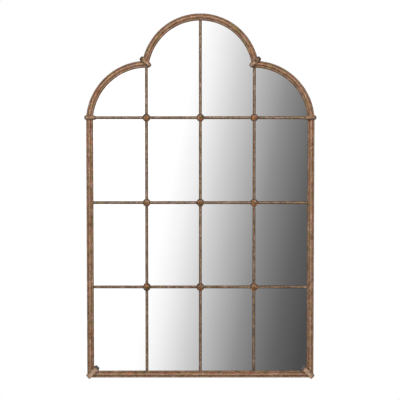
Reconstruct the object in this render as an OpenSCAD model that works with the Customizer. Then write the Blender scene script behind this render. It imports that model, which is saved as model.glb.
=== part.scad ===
// Arched lattice wall mirror. A frame of six moulded iron channels holds one sheet of mirror
// glass, half-round glazing bars cross in front of it, and clasps cover the frame's joints.
//
// Every piece is drawn on the bench, with the mirror lying on its back: X runs across, Y up
// the mirror from the underside of the bottom rail, and Z forward from the back of the frame.
// hung() then stands it up: the wall is the plane Y = 0, the room is towards -Y, and Z = 0 is
// the line through the pivots of the two hanging rings. Sections are drawn as (u, d): u runs
// outward from the sight edge of the frame, and d forward from its back.

/* [Overall] */
// Width over the two stiles
frame_w = 1000; // [960:10:1060]
// Height from the underside of the bottom rail to the top of the crown
frame_h = 1600; // [1500:10:1700]
// Height of the arched top above the spring line
arch_rise = 453; // [447:2:469]
// How far the crown's outer edge lies outside the side bars' centre lines
crown_over = 22; // [20:1:26]
// Outer radius of the two shoulder arches
shoulder_r = 268; // [262:1:276]
// How far the centres of the shoulder arches lie below the spring line
shoulder_drop = 20; // [12:1:28]

/* [Frame channel] */
// Width of the frame's face
member_w = 30; // [26:1:32]
// Thickness of the moulded face plate, without its beads
plate_t = 4; // [3.5:0.5:5]
// Thickness of the two limbs that stand behind the face plate
limb_t = 2.5; // [2:0.5:3]
// Width of the rebate that takes the edge of the glass
rebate_w = 9; // [8:0.5:10]
// Radius of the bead along the sight edge
sight_bead_r = 4.4; // [3.6:0.1:4.4]
// How far the sight bead's centre is sunk behind the plate's face
sight_bead_sink = 2; // [1:0.1:2.5]
// Radius of the bead along the outer edge
edge_bead_r = 3.5; // [2.8:0.1:3.6]
// Width of each groove between two beads
quirk_w = 0.8; // [0.6:0.1:1.2]

/* [Glass and board] */
// Thickness of the mirror glass
glass_t = 4; // [3:0.5:6]
// Thickness of the backing board
board_t = 3; // [2.5:0.5:4]
// Depth of the open back behind the board
back_recess = 9; // [8:0.5:12]
// Gap between the edge of the glass and the frame
edge_gap = 1.5; // [1:0.25:2]
// Length of each rubber block under the glass
setting_block_l = 40; // [30:1:60]

/* [Glazing bars] */
// Width of a half-round glazing bar
bar_w = 13; // [12:0.5:15]
// Gap between the bars and the glass
bar_gap = 0.3; // [0.2:0.1:0.6]
// Width of the tongue on the end of a bar
tongue_w = 10; // [8:0.5:11]
// Thickness of that tongue
tongue_t = 2.5; // [2:0.1:2.8]
// Length of that tongue inside the frame's lip
tongue_l = 6.5; // [5:0.5:7]

/* [Bosses] */
// Diameter of a boss over its rim
boss_d = 34; // [30:1:40]
// Diameter of the raised dome on a boss
boss_dome_d = 25; // [22:1:27]
// Height of that dome above the boss's rim
boss_dome_h = 5; // [4.5:0.5:6]
// Radius of the button in the middle of a boss
boss_button_r = 3.2; // [2.5:0.1:4]

/* [Clasps] */
// Width of a valley clasp, along the frame
valley_clasp_w = 22; // [20:1:26]
// Width of a corner clasp
corner_clasp_w = 25; // [22:1:28]
// Width of a clasp at the spring line
spring_clasp_w = 20; // [19:1:24]
// Thickness of a clasp in front of the frame
clasp_t = 3.4; // [3:0.1:5]
// Radius of a clasp's corners, seen from the front
clasp_round = 9; // [6:0.5:9]
// Radius at which a clasp's two ends turn back towards the wall
clasp_end_r = 8; // [6:0.5:9]
// Radius along a clasp's long edges
clasp_edge_r = 2.4; // [1.5:0.1:2.8]
// How far a clasp's front is crowned across its width
clasp_crown = 1.6; // [1:0.1:2]
// How far a clasp at the spring line stands out from the frame
spring_clasp_out = 8; // [6:0.5:10]
// How far it stands in from the sight edge
spring_clasp_in = 13; // [12:0.5:17]
// How far a corner clasp ends short of the frame's outer corner, along the mitre
corner_clasp_short = 1; // [0.5:0.5:3]
// How far it stands in past the corner of the sight edge
corner_clasp_in = 24.5; // [20:0.5:27]
// Length of a valley clasp
valley_clasp_l = 58; // [54:1:63]
// Slope of a valley clasp
valley_clasp_turn = 41; // [38:1:46]
// How far its middle lies above the middle of the joint
valley_clasp_rise = 10; // [6:0.5:10]

/* [Joint plates] */
// Gap on each side of the plates that join the channels
splice_side_gap = 1; // [0.9:0.1:1.5]
// Thickness of those plates
splice_t = 4; // [3:0.5:5]
// Length of a corner key's legs, from the frame's outer corner
key_leg = 74; // [66:1:90]
// Length of a splice on each side of its joint
splice_leg = 38; // [36:1:40]

/* [Fasteners] */
// Diameter of the small screws
screw_d = 4; // [3.5:0.5:4.5]
// Diameter of their heads
screw_head_d = 8; // [7:0.5:9]
// Diameter of the screws that hold the hangers
hanger_screw_d = 5; // [4:0.5:6]
// Diameter of their heads
hanger_head_d = 9; // [8:0.5:10]
// Thickness of a retaining clip
clip_t = 1.6; // [1.2:0.1:2]
// Width of a retaining clip
clip_w = 16; // [12:1:20]
// How far a clip reaches over the board's edge
clip_reach = 10; // [8:0.5:14]

/* [Hanging] */
// How far the hanging rings' pivots lie below the spring line
hang_drop = 97; // [79:2:107]
// Thickness of the rubber wall pads, which sets the frame off the wall
pad_t = 8; // [7.9:0.1:12]
// Diameter of a wall pad
pad_d = 15; // [12:0.5:16]
// Height of the lower pads above the underside of the bottom rail
pad_h = 115; // [105:5:160]
// Thickness of the hanger's steel strap
strap_t = 1.4; // [1.2:0.1:1.6]
// Width of that strap
strap_w = 14; // [12:0.5:15]
// Length of that strap below the ring's pivot
strap_l = 54; // [52:1:60]
// Diameter of the ring's wire
ring_wire_d = 4; // [3:0.5:4]
// Width of the ring, between the centre lines of its two legs
ring_w = 21; // [18:0.5:21]
// Length of the ring's straight legs
ring_leg = 9; // [7:0.5:10]

/* [Hidden] */
$fn = 96;

// Clearances and allowances
joint_gap = 0.1;
lap_clear = 0.15;
slot_clear = 0.25;
seat_clear = 0.2;
thread_clear = 0.05;
hole_clear = 0.15;
weld = 0.5;
drill_tip = 0.5;
past = 1;

// Depths, from the back of the frame forward
board_back = back_recess;
glass_back = board_back + board_t;
glass_face = glass_back + glass_t;
plate_face = glass_face + plate_t;
bar_back = glass_face + bar_gap;
bar_r = bar_w / 2;
lap_d = bar_back + bar_r / 2;
bar_front = bar_back + bar_r;
boss_saddle = 1.6;
boss_rim_d = bar_front - boss_saddle;
boss_rim_t = 2.6;
boss_top = boss_rim_d + boss_rim_t + boss_dome_h;
boss_screw_top = boss_top - 1.2;

// Beads of the face, from the sight edge outward
bead_margin = 0.3;
crest_bead_w = member_w - 2 * (bead_margin + sight_bead_r + edge_bead_r + quirk_w);
crest_bead_r = crest_bead_w / 2;
sight_bead_u = bead_margin + sight_bead_r;
crest_bead_u = sight_bead_u + sight_bead_r + quirk_w + crest_bead_r;
edge_bead_u = member_w - bead_margin - edge_bead_r;
crest_d = plate_face + crest_bead_r;

// The channel's open inside, between its two limbs
channel_in = rebate_w + limb_t;
channel_out = member_w - limb_t;
channel_u = (channel_in + channel_out) / 2;
splice_w = channel_out - channel_in - 2 * splice_side_gap;

// Lattice
sight_x = frame_w / 2 - member_w;
spring_h = frame_h - arch_rise;
hang_h = spring_h - hang_drop;
pane_ease = 1;
col = sight_x / 2 + pane_ease;
row = (spring_h - member_w) / 3;
bar_xs = [-col, 0, col];
bar_ys = [for (k = [1:3]) member_w + k * row];

// Arch centres, drawn for the right-hand half
crown_r = col + crown_over;
crown_c = [0, frame_h - crown_r];
shoulder_c = [frame_w / 2 - sqrt(pow(shoulder_r, 2) - pow(shoulder_drop, 2)),
              spring_h - shoulder_drop];

// Where two circles cross, on the right of the way from a to b
function crossing(a, ra, b, rb) =
    let (d = norm(b - a), along = (ra * ra - rb * rb + d * d) / (2 * d))
    let (side = sqrt(ra * ra - along * along), way = (b - a) / d)
    a + along * way + side * [way.y, -way.x];

function polar(c, r, a) = c + r * [cos(a), sin(a)];
function heading(from, to) = atan2(to.y - from.y, to.x - from.x);
function arc_turn(length, r) = length / r * 180 / PI;

// Where the shoulder and the crown meet, at the distance u from the sight edge
function valley(u) =
    crossing(shoulder_c, shoulder_r - member_w + u, crown_c, crown_r - member_w + u);
valley_in = valley(0);
valley_out = valley(member_w);
valley_turn = heading(valley_in, valley_out);
over_run = 3;
crown_from = min(heading(crown_c, valley_in), heading(crown_c, valley_out)) - over_run;
shoulder_to = max(heading(shoulder_c, valley_in), heading(shoulder_c, valley_out)) + over_run;
shoulder_from = asin(shoulder_drop / shoulder_r) - over_run;

// Height of the sight edge above a point x on the bottom rail
function sight_top(x) =
    abs(x) < valley_in.x
    ? crown_c.y + sqrt(pow(crown_r - member_w, 2) - x * x)
    : shoulder_c.y + sqrt(pow(shoulder_r - member_w, 2) - pow(abs(x) - shoulder_c.x, 2));
function bar_top(x) = min(sight_top(abs(x) - bar_r), sight_top(abs(x) + bar_r)) - seat_clear;

// Distance of the sight edge from the middle at a height y
function sight_side(y) =
    y < spring_h
    ? sight_x
    : shoulder_c.x + sqrt(pow(shoulder_r - member_w, 2) - pow(y - shoulder_c.y, 2));
function bar_side(y) = min(sight_side(y - bar_r), sight_side(y + bar_r)) - seat_clear;

// Screws of the joint plates, in the thick part of the crest bead
screw_step = [14, 30];
key_screw_step = [42, 62];
screw_u = crest_bead_u;
screw_depth = 7;
valley_mid = valley(screw_u);
shoulder_screw_r = shoulder_r - member_w + screw_u;
crown_screw_r = crown_r - member_w + screw_u;
spring_turn = asin(shoulder_drop / shoulder_screw_r);
corner_screws = [for (s = key_screw_step)
    each [[sight_x + screw_u, s], [frame_w / 2 - s, member_w - screw_u]]];
spring_screws = [for (s = screw_step)
    each [[sight_x + screw_u, spring_h - s],
          polar(shoulder_c, shoulder_screw_r, spring_turn + arc_turn(s, shoulder_screw_r))]];
valley_screws = [for (s = screw_step)
    each [polar(shoulder_c, shoulder_screw_r,
                heading(shoulder_c, valley_mid) - arc_turn(s, shoulder_screw_r)),
          polar(crown_c, crown_screw_r,
                heading(crown_c, valley_mid) + arc_turn(s, crown_screw_r))]];

// Retaining clips as [x, y, outward heading]: those of the right-hand half, and the top one
function arch_place(c, r, a) = concat(polar(c, r - member_w + channel_u, a), a);
lug_l = 20;
clip_corner_r = 3;
clip_margin = 1;
clip_screw_depth = 5;
stile_clips = [for (k = [0:2]) [sight_x + channel_u, member_w + (k + 0.5) * row, 0]];
rail_clips = [for (k = [0.5, 1.5]) [k * col, member_w - channel_u, -90]];
shoulder_clips = [arch_place(shoulder_c, shoulder_r, 48)];
crown_clips = [arch_place(crown_c, crown_r, 38)];
side_clips = concat(stile_clips, rail_clips, shoulder_clips, crown_clips);
top_clip = arch_place(crown_c, crown_r, 90);

// Hanger: the ring's pivot lies behind the frame, and the strap runs down from it
hanger_u = member_w - 13;
hanger_x = sight_x + hanger_u;
pivot_clear = 0.06;
ring_gap = 0.6;
loop_in_r = ring_wire_d / 2 + pivot_clear;
loop_out_r = loop_in_r + strap_t;
pivot_d = -(strap_t + ring_gap + ring_wire_d / 2);
ring_bend_r = 3;
hanger_screw_step = [30, 46];
hanger_block_above = 6;
hanger_block_l = strap_l + 8 + hanger_block_above;
hanger_block_y = hang_h + hanger_block_above - hanger_block_l / 2;
hanger_screw_depth = 10;

// Wall pads
pad_block_l = 18;
pad_margin = 0.5;
pad_u = member_w - pad_margin - pad_d / 2;
pad_arch_turn = 60;
lower_pad = [sight_x + pad_u, pad_h];
upper_pad = polar(crown_c, crown_r - member_w + pad_u, pad_arch_turn);

rust_brown = [0.51, 0.39, 0.30];
rust_dark = [0.40, 0.30, 0.23];
clasp_tan = [0.66, 0.55, 0.44];

// Stands a piece drawn on the bench up against the wall
module hung() {
    translate([0, -pad_t, -hang_h]) rotate([90, 0, 0]) children();
}

// Turns a piece of the right-hand half into its twin on the left
module left() {
    mirror([1, 0, 0]) children();
}

module both_sides() {
    children();
    left() children();
}

// A half-round bead on the face plate
module bead(u, r, sink) {
    intersection() {
        translate([u, plate_face - sink]) circle(r = r);
        translate([0, plate_face - max(sink, plate_t / 2)]) square([member_w, 2 * member_w]);
    }
}

// The frame's channel: a moulded face plate, a deep outer limb and a shallow inner limb
module channel_section() {
    translate([0, glass_face]) square([member_w, plate_t]);
    translate([channel_out, 0]) square([limb_t, glass_face + plate_t / 2]);
    translate([rebate_w, board_back]) square([limb_t, glass_face - board_back + plate_t / 2]);
    bead(sight_bead_u, sight_bead_r, sight_bead_sink);
    bead(crest_bead_u, crest_bead_r, 0);
    bead(edge_bead_u, edge_bead_r, 0);
}

// All the room that a frame channel takes up, with some to spare in front
module envelope_section(front_clear) {
    translate([-seat_clear, -past])
        square([member_w + 2 * seat_clear, crest_d + front_clear + past]);
}

// The plate that joins two channels from inside
module splice_section() {
    translate([channel_u - splice_w / 2, glass_face - splice_t]) square([splice_w, splice_t]);
}

// A straight run of a section up the right-hand side, from y0 to y1
module straight_run(y0, y1) {
    translate([sight_x, y1, 0]) rotate([90, 0, 0]) linear_extrude(y1 - y0) children();
}

// A straight run of a section along the bottom, from x0 to x1
module bottom_run(x0, x1) {
    translate([x0, member_w, 0]) rotate([90, 0, 90]) linear_extrude(x1 - x0)
        mirror([1, 0, 0]) children();
}

// A run of a section round an arch, whose outer edge has radius r, from angle a0 to a1
module arch_run(c, r, a0, a1) {
    translate([c.x, c.y, 0]) rotate(a0) rotate_extrude(angle = a1 - a0)
        translate([r - member_w, 0]) children();
}

// Everything on one side of the upright plane through p at heading a: side 1 is its left. It
// takes half the gap between two members with it.
module beyond(p, a, side, gap = joint_gap) {
    reach = 400;
    translate([p.x, p.y, -pad_t]) rotate(a)
        translate([-reach, side > 0 ? -gap / 2 : gap / 2 - reach, 0])
            cube([2 * reach, reach, crest_d + 3 * pad_t]);
}

// A block welded into the channel at p, with its outward heading, from depth d0 to the plate
module lug(p, a, length, d0) {
    translate([p.x, p.y, d0]) rotate(a)
        translate([channel_in - channel_u - weld, -length / 2, 0])
            cube([channel_out - channel_in + 2 * weld, length, glass_face + weld - d0]);
}

// A round hole at p, from depth d0 to depth d1
module hole(p, r, d0, d1) {
    translate([p.x, p.y, d0]) cylinder(r = r, h = d1 - d0);
}

module splice_holes(places) {
    for (p = places)
        hole(p, screw_d / 2 + thread_clear,
             glass_face - past, glass_face + screw_depth + drill_tip);
}

module clip_lugs(places) {
    for (p = places) lug(p, p.z, lug_l, board_back);
}

module clip_holes(places) {
    for (p = places)
        hole(p, screw_d / 2 + thread_clear,
             board_back - past, board_back + clip_screw_depth + drill_tip);
}

// Slots in the back of the frame's lip for the tongues of the glazing bars
module lip_slots() {
    slot_w = tongue_w + 2 * slot_clear;
    slot_l = tongue_l + slot_clear;
    slot_t = bar_gap + tongue_t + slot_clear;
    for (x = bar_xs) {
        translate([x - slot_w / 2, member_w - slot_l, glass_face - past])
            cube([slot_w, slot_l + past, slot_t + past]);
        translate([x - slot_w / 2, bar_top(x) - past, glass_face - past])
            cube([slot_w, slot_l + past + 2 * seat_clear, slot_t + past]);
    }
    for (y = bar_ys, side = [0, 1])
        mirror([side, 0, 0])
            translate([sight_x - past, y - slot_w / 2, glass_face - past])
                cube([slot_l + past, slot_w, slot_t + past]);
}

module stile_solid() {
    difference() {
        union() {
            straight_run(0, spring_h - joint_gap / 2) channel_section();
            clip_lugs(stile_clips);
            lug([sight_x + channel_u, hanger_block_y], 0, hanger_block_l, 0);
            lug([sight_x + channel_u, pad_h], 0, pad_block_l, 0);
        }
        beyond([frame_w / 2, 0], 135, 1);
        lip_slots();
        splice_holes(corner_screws);
        splice_holes(spring_screws);
        clip_holes(stile_clips);
        for (s = hanger_screw_step)
            hole([hanger_x, hang_h - s], hanger_screw_d / 2 + thread_clear,
                 -past, hanger_screw_depth + drill_tip);
    }
}

module bottom_rail_solid() {
    difference() {
        union() {
            bottom_run(-frame_w / 2, frame_w / 2) channel_section();
            both_sides() clip_lugs(rail_clips);
        }
        both_sides() {
            beyond([frame_w / 2, 0], 135, -1);
            splice_holes(corner_screws);
            clip_holes(rail_clips);
        }
        lip_slots();
    }
}

module shoulder_solid() {
    difference() {
        union() {
            arch_run(shoulder_c, shoulder_r, shoulder_from, shoulder_to) channel_section();
            clip_lugs(shoulder_clips);
        }
        beyond([sight_x, spring_h], 0, -1);
        beyond(valley_in, valley_turn, 1);
        lip_slots();
        splice_holes(spring_screws);
        splice_holes(valley_screws);
        clip_holes(shoulder_clips);
    }
}

module crown_solid() {
    difference() {
        union() {
            arch_run(crown_c, crown_r, crown_from, 180 - crown_from) channel_section();
            clip_lugs([top_clip]);
            both_sides() {
                clip_lugs(crown_clips);
                lug(arch_place(crown_c, crown_r, pad_arch_turn), pad_arch_turn, pad_block_l, 0);
            }
        }
        both_sides() {
            beyond(valley_in, valley_turn, -1);
            splice_holes(valley_screws);
            clip_holes(crown_clips);
        }
        clip_holes([top_clip]);
        lip_slots();
    }
}

// The room that the frame takes up at its three kinds of joint. The arch's part starts below
// the spring line, so the straight part stops short of it and is a little deeper.
module frame_envelope() {
    short = 3;
    straight_run(-member_w, spring_h - short) envelope_section(2 * seat_clear);
    bottom_run(0, frame_w / 2 + member_w) envelope_section(2 * seat_clear);
    arch_run(shoulder_c, shoulder_r, spring_turn - over_run, 3 * over_run)
        envelope_section(seat_clear);
}

// Here the two parts of the room run into each other a little
module valley_envelope() {
    difference() {
        arch_run(shoulder_c, shoulder_r, 45, shoulder_to) envelope_section(2 * seat_clear);
        beyond(valley_in, valley_turn, 1, -seat_clear);
    }
    difference() {
        arch_run(crown_c, crown_r, crown_from, 90) envelope_section(seat_clear);
        beyond(valley_in, valley_turn, -1, -seat_clear);
    }
}

// Plan of the opening, let out past the sight edge by grow
module opening_plan(grow) {
    both_sides() intersection() {
        translate(shoulder_c) circle(r = shoulder_r - member_w + grow);
        translate([0, shoulder_c.y]) square([sight_x + grow, frame_h]);
    }
    translate(crown_c) circle(r = crown_r - member_w + grow);
    translate([-sight_x - grow, member_w - grow])
        square([2 * (sight_x + grow), shoulder_c.y - member_w + grow + past]);
}

// A square with round corners, its lower left corner at the origin
module round_plate(size, r) {
    translate([r, 0]) square([size.x - 2 * r, size.y]);
    translate([0, r]) square([size.x, size.y - 2 * r]);
    for (x = [r, size.x - r], y = [r, size.y - r]) translate([x, y]) circle(r = r);
}

// A clasp of width w before the frame is cut out of it: it runs along X from s0 to s1, and
// from its heel beside the frame to the crest of its crowned front
module clasp_blank(s0, s1, w) {
    heel = 2;
    front = crest_d + seat_clear + clasp_t;
    drop = 2 * clasp_end_r;
    above = 0.3;
    crown_bend = (pow(w / 2, 2) + pow(clasp_crown, 2)) / (2 * clasp_crown);
    intersection() {
        translate([s0, -w / 2, heel])
            linear_extrude(front) round_plate([s1 - s0, w], clasp_round);
        translate([s0, w, -drop]) rotate([90, 0, 0])
            linear_extrude(2 * w)
                round_plate([s1 - s0, front + above + drop], clasp_end_r);
        translate([s0 - past, 0, -drop]) rotate([90, 0, 90])
            linear_extrude(s1 - s0 + 2 * past) intersection() {
                translate([-w / 2, 0])
                    round_plate([w, front + drop + above], clasp_edge_r);
                translate([0, front + drop - crown_bend]) circle(r = crown_bend);
            }
    }
}

// The room behind the front of the glass, inside the sight edge
module glass_room() {
    translate([0, 0, -past]) linear_extrude(bar_back + past) opening_plan(0);
}

module corner_clasp_solid() {
    difference() {
        translate([frame_w / 2, 0, 0]) rotate(135)
            clasp_blank(corner_clasp_short, member_w * sqrt(2) + corner_clasp_in,
                        corner_clasp_w);
        frame_envelope();
        glass_room();
    }
}

module spring_clasp_solid() {
    difference() {
        translate([sight_x, spring_h, 0])
            clasp_blank(-spring_clasp_in, member_w + spring_clasp_out, spring_clasp_w);
        frame_envelope();
        glass_room();
        translate([sight_x - 2 * member_w, spring_h, 0]) rotate(-90)
            bar_run(2 * member_w + rebate_w, seat_clear);
    }
}

module valley_clasp_solid() {
    middle = (valley_in + valley_out) / 2 + [0, valley_clasp_rise];
    difference() {
        translate([middle.x, middle.y, 0]) rotate(valley_clasp_turn)
            clasp_blank(-valley_clasp_l / 2, valley_clasp_l / 2, valley_clasp_w);
        valley_envelope();
        glass_room();
        translate([col, bar_top(col) - 2 * member_w, 0]) bar_run(3 * member_w, seat_clear);
    }
}

module corner_key_solid() {
    difference() {
        union() {
            straight_run(0, key_leg) splice_section();
            bottom_run(frame_w / 2 - key_leg, frame_w / 2) splice_section();
        }
        translate([sight_x + channel_u + splice_w / 2, -past, 0])
            cube([member_w, member_w + past, glass_face + past]);
        translate([sight_x, -past, 0])
            cube([2 * member_w, member_w - channel_u - splice_w / 2 + past, glass_face + past]);
        plate_holes(corner_screws);
    }
}

// The shoulder leg of this plate follows the chord of the arch
module spring_splice_solid() {
    knee = [sight_x + channel_u, spring_h];
    mid_r = shoulder_r - member_w + channel_u;
    tip = polar(shoulder_c, mid_r, heading(shoulder_c, knee) + arc_turn(splice_leg, mid_r));
    turn = heading(knee, tip) - 90;
    reach = splice_w / 2 / cos(turn / 2);
    difference() {
        translate([0, 0, glass_face - splice_t]) linear_extrude(splice_t) polygon([
            knee + [-splice_w / 2, -splice_leg],
            knee + [splice_w / 2, -splice_leg],
            polar(knee, reach, turn / 2),
            polar(tip, splice_w / 2, turn),
            polar(tip, -splice_w / 2, turn),
            polar(knee, -reach, turn / 2)
        ]);
        plate_holes(spring_screws);
    }
}

module valley_splice_solid() {
    difference() {
        union() {
            difference() {
                arch_run(shoulder_c, shoulder_r,
                         heading(shoulder_c, valley_mid) - arc_turn(splice_leg, shoulder_r),
                         shoulder_to) splice_section();
                beyond(valley_in, valley_turn, 1);
            }
            difference() {
                arch_run(crown_c, crown_r, crown_from,
                         heading(crown_c, valley_mid) + arc_turn(splice_leg, crown_r))
                    splice_section();
                beyond(valley_in, valley_turn, -1);
            }
            translate([valley_in.x, valley_in.y, glass_face - splice_t]) rotate(valley_turn)
                translate([channel_u, -past, 0])
                    cube([splice_w / 2, 2 * past, splice_t]);
        }
        plate_holes(valley_screws);
    }
}

module plate_holes(places) {
    for (p = places)
        hole(p, screw_d / 2 + hole_clear, glass_face - splice_t - past, glass_face + past);
}

// A half-round bar along +Y from the origin, let out by grow all round
module bar_run(length, grow) {
    translate([0, length, bar_back]) rotate([90, 0, 0]) linear_extrude(length)
        intersection() {
            circle(r = bar_r + grow);
            translate([-2 * bar_r, -grow]) square([4 * bar_r, 3 * bar_r]);
        }
}

// A glazing bar with its two tongues, along +Y from the origin
module bar_blank(length) {
    bar_run(length, 0);
    translate([-tongue_w / 2, -tongue_l - seat_clear, bar_back])
        cube([tongue_w, length + 2 * (tongue_l + seat_clear), tongue_t]);
}

// A vertical bar passes in front: each crossing takes the back half of it away
module vertical_bar_solid(x) {
    foot = member_w + seat_clear;
    difference() {
        translate([x, foot, 0]) bar_blank(bar_top(x) - foot);
        for (y = bar_ys) {
            translate([x - bar_w, y - bar_r - lap_clear, bar_back - past])
                cube([2 * bar_w, bar_w + 2 * lap_clear, lap_d - bar_back + past]);
            hole([x, y], screw_d / 2 + hole_clear, lap_d - past, bar_front + past);
        }
    }
}

// A horizontal bar passes behind: each crossing takes the front half of it away
module horizontal_bar_solid(y) {
    end = bar_side(y);
    difference() {
        translate([-end, y, 0]) rotate(-90) bar_blank(2 * end);
        for (x = bar_xs) {
            translate([x - bar_r - lap_clear, y - bar_w, lap_d])
                cube([bar_w + 2 * lap_clear, 2 * bar_w, bar_r]);
            hole([x, y], screw_d / 2 + hole_clear, bar_back - past, lap_d + past);
            translate([x, y, bar_back - past])
                cylinder(r1 = screw_head_d / 2 + hole_clear + past,
                         r2 = screw_d / 2 + hole_clear,
                         h = (screw_head_d - screw_d) / 2 + past);
        }
    }
}

// A cast boss: a beaded rim, a dome with a turned groove and a button, saddled over the bars
module boss_solid(x, y) {
    dome_w = boss_dome_d / 2;
    dome_r = (dome_w * dome_w + boss_dome_h * boss_dome_h) / (2 * boss_dome_h);
    dome_c = boss_top - dome_r;
    groove_u = boss_button_r + 2.2;
    groove_r = 0.9;
    rim_bead_r = 1.4;
    difference() {
        translate([x, y, 0]) rotate_extrude() difference() {
            union() {
                translate([0, boss_rim_d]) square([boss_d / 2, boss_rim_t]);
                translate([boss_d / 2 - rim_bead_r - 0.2, boss_rim_d + boss_rim_t - 0.1])
                    upper_part(rim_bead_r, -rim_bead_r, 0.1 - boss_rim_t / 2);
                translate([0, dome_c])
                    upper_part(dome_r, 0, boss_rim_d + boss_rim_t / 2 - dome_c);
                translate([0, boss_top - boss_button_r / 2])
                    upper_part(boss_button_r, 0, -boss_dome_h / 2);
            }
            translate([groove_u, dome_c + sqrt(dome_r * dome_r - groove_u * groove_u)])
                circle(r = groove_r);
        }
        translate([x, y - boss_d, 0]) bar_run(2 * boss_d, lap_clear);
        translate([x - boss_d, y, 0]) rotate(-90) bar_run(2 * boss_d, lap_clear);
        hole([x, y], screw_d / 2 + thread_clear, bar_back, boss_screw_top + drill_tip);
    }
}

// The part of a circle that lies beyond x0 and above y0
module upper_part(r, x0, y0) {
    intersection() {
        circle(r = r);
        translate([x0, y0]) square([2 * r + past, 2 * r + past]);
    }
}

// A countersunk screw from behind a crossing into its boss
module boss_screw(x, y) {
    cone_h = (screw_head_d - screw_d) / 2;
    slot = 1;
    difference() {
        translate([x, y, bar_back]) union() {
            cylinder(r1 = screw_head_d / 2, r2 = screw_d / 2, h = cone_h);
            translate([0, 0, cone_h / 2])
                cylinder(d = screw_d, h = boss_screw_top - bar_back - cone_h / 2);
        }
        translate([x - screw_head_d, y - slot / 2, bar_back - past])
            cube([2 * screw_head_d, slot, slot + past]);
    }
}

// A domed, slotted screw head at the origin with its shank towards +Z
module pan_screw(d, head_d, shank_l) {
    head_t = 0.28 * head_d;
    crown = 1.1 * head_d;
    slot = 0.14 * head_d;
    difference() {
        union() {
            rotate_extrude() intersection() {
                translate([0, crown - head_t]) circle(r = crown);
                translate([0, -head_t]) square([head_d / 2, head_t]);
            }
            translate([0, 0, -head_t / 2]) cylinder(d = d, h = shank_l + head_t / 2);
        }
        translate([-head_d, -slot / 2, -head_t - past]) cube([2 * head_d, slot, slot + past]);
    }
}

module splice_screw(p) {
    translate([p.x, p.y, glass_face - splice_t]) rotate(30)
        pan_screw(screw_d, screw_head_d - 1, splice_t + screw_depth);
}

// A flat retaining clip on its lug, reaching over the edge of the board
module clip(p) {
    outer = channel_out - channel_u - clip_margin;
    inner = channel_u - rebate_w + edge_gap + clip_reach;
    difference() {
        translate([p.x, p.y, board_back - clip_t]) rotate(p.z)
            translate([-inner, -clip_w / 2, 0])
                linear_extrude(clip_t) round_plate([inner + outer, clip_w], clip_corner_r);
        hole(p, screw_d / 2 + hole_clear, board_back - clip_t - past, board_back + past);
    }
}

module clip_screw(p) {
    translate([p.x, p.y, board_back - clip_t]) rotate(p.z + 20)
        pan_screw(screw_d, screw_head_d, clip_t + clip_screw_depth);
}

module setting_block(x) {
    translate([x - setting_block_l / 2, member_w - rebate_w, glass_back])
        cube([setting_block_l, edge_gap, glass_t]);
}

// A steel strap rolled round the bar of its ring
module hanger_strap_solid() {
    difference() {
        union() {
            translate([hanger_x - strap_w / 2, hang_h - strap_l, -strap_t])
                linear_extrude(strap_t) strap_plan();
            translate([hanger_x - strap_w / 2, hang_h, pivot_d]) rotate([0, 90, 0])
                cylinder(r = loop_out_r, h = strap_w);
        }
        translate([hanger_x - strap_w, hang_h, pivot_d]) rotate([0, 90, 0])
            cylinder(r = loop_in_r, h = 2 * strap_w);
        for (s = hanger_screw_step)
            hole([hanger_x, hang_h - s], hanger_screw_d / 2 + hole_clear, -strap_t - past, past);
    }
}

// The strap's plan: a strip with a round foot
module strap_plan() {
    translate([0, strap_w / 2]) square([strap_w, strap_l - strap_w / 2]);
    translate([strap_w / 2, strap_w / 2]) circle(d = strap_w);
}

// A D-shaped ring of round wire, hanging from its straight bar
module hanger_ring_solid() {
    wire_r = ring_wire_d / 2;
    half = ring_w / 2;
    translate([hanger_x, hang_h, pivot_d]) {
        translate([-half + ring_bend_r, 0, 0]) rotate([0, 90, 0])
            cylinder(r = wire_r, h = ring_w - 2 * ring_bend_r);
        for (side = [0, 1]) mirror([side, 0, 0]) {
            translate([half - ring_bend_r, -ring_bend_r, 0])
                rotate_extrude(angle = 90) translate([ring_bend_r, 0]) circle(r = wire_r);
            translate([half, -ring_leg, 0]) rotate([-90, 0, 0])
                cylinder(r = wire_r, h = ring_leg - ring_bend_r);
        }
        translate([0, -ring_leg, 0]) rotate(180) rotate_extrude(angle = 180)
            translate([half, 0]) circle(r = wire_r);
    }
}

module hanger_screw_pair() {
    for (s = hanger_screw_step)
        translate([hanger_x, hang_h - s, -strap_t]) rotate(s)
            pan_screw(hanger_screw_d, hanger_head_d, strap_t + hanger_screw_depth);
}

// A rubber pad between the frame and the wall, with a chamfered edge against the wall
module wall_pad(p) {
    edge = 1;
    translate([p.x, p.y, -pad_t]) {
        cylinder(d1 = pad_d - 2 * edge, d2 = pad_d, h = edge);
        translate([0, 0, edge]) cylinder(d = pad_d, h = pad_t - edge);
    }
}

module stile_left() { color(rust_brown) hung() left() stile_solid(); }
module stile_right() { color(rust_brown) hung() stile_solid(); }
module bottom_rail() { color(rust_brown) hung() bottom_rail_solid(); }
module shoulder_arch_left() { color(rust_brown) hung() left() shoulder_solid(); }
module shoulder_arch_right() { color(rust_brown) hung() shoulder_solid(); }
module crown_arch() { color(rust_brown) hung() crown_solid(); }

module corner_clasp_left() { color(clasp_tan) hung() left() corner_clasp_solid(); }
module corner_clasp_right() { color(clasp_tan) hung() corner_clasp_solid(); }
module spring_clasp_left() { color(clasp_tan) hung() left() spring_clasp_solid(); }
module spring_clasp_right() { color(clasp_tan) hung() spring_clasp_solid(); }
module valley_clasp_left() { color(clasp_tan) hung() left() valley_clasp_solid(); }
module valley_clasp_right() { color(clasp_tan) hung() valley_clasp_solid(); }

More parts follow.
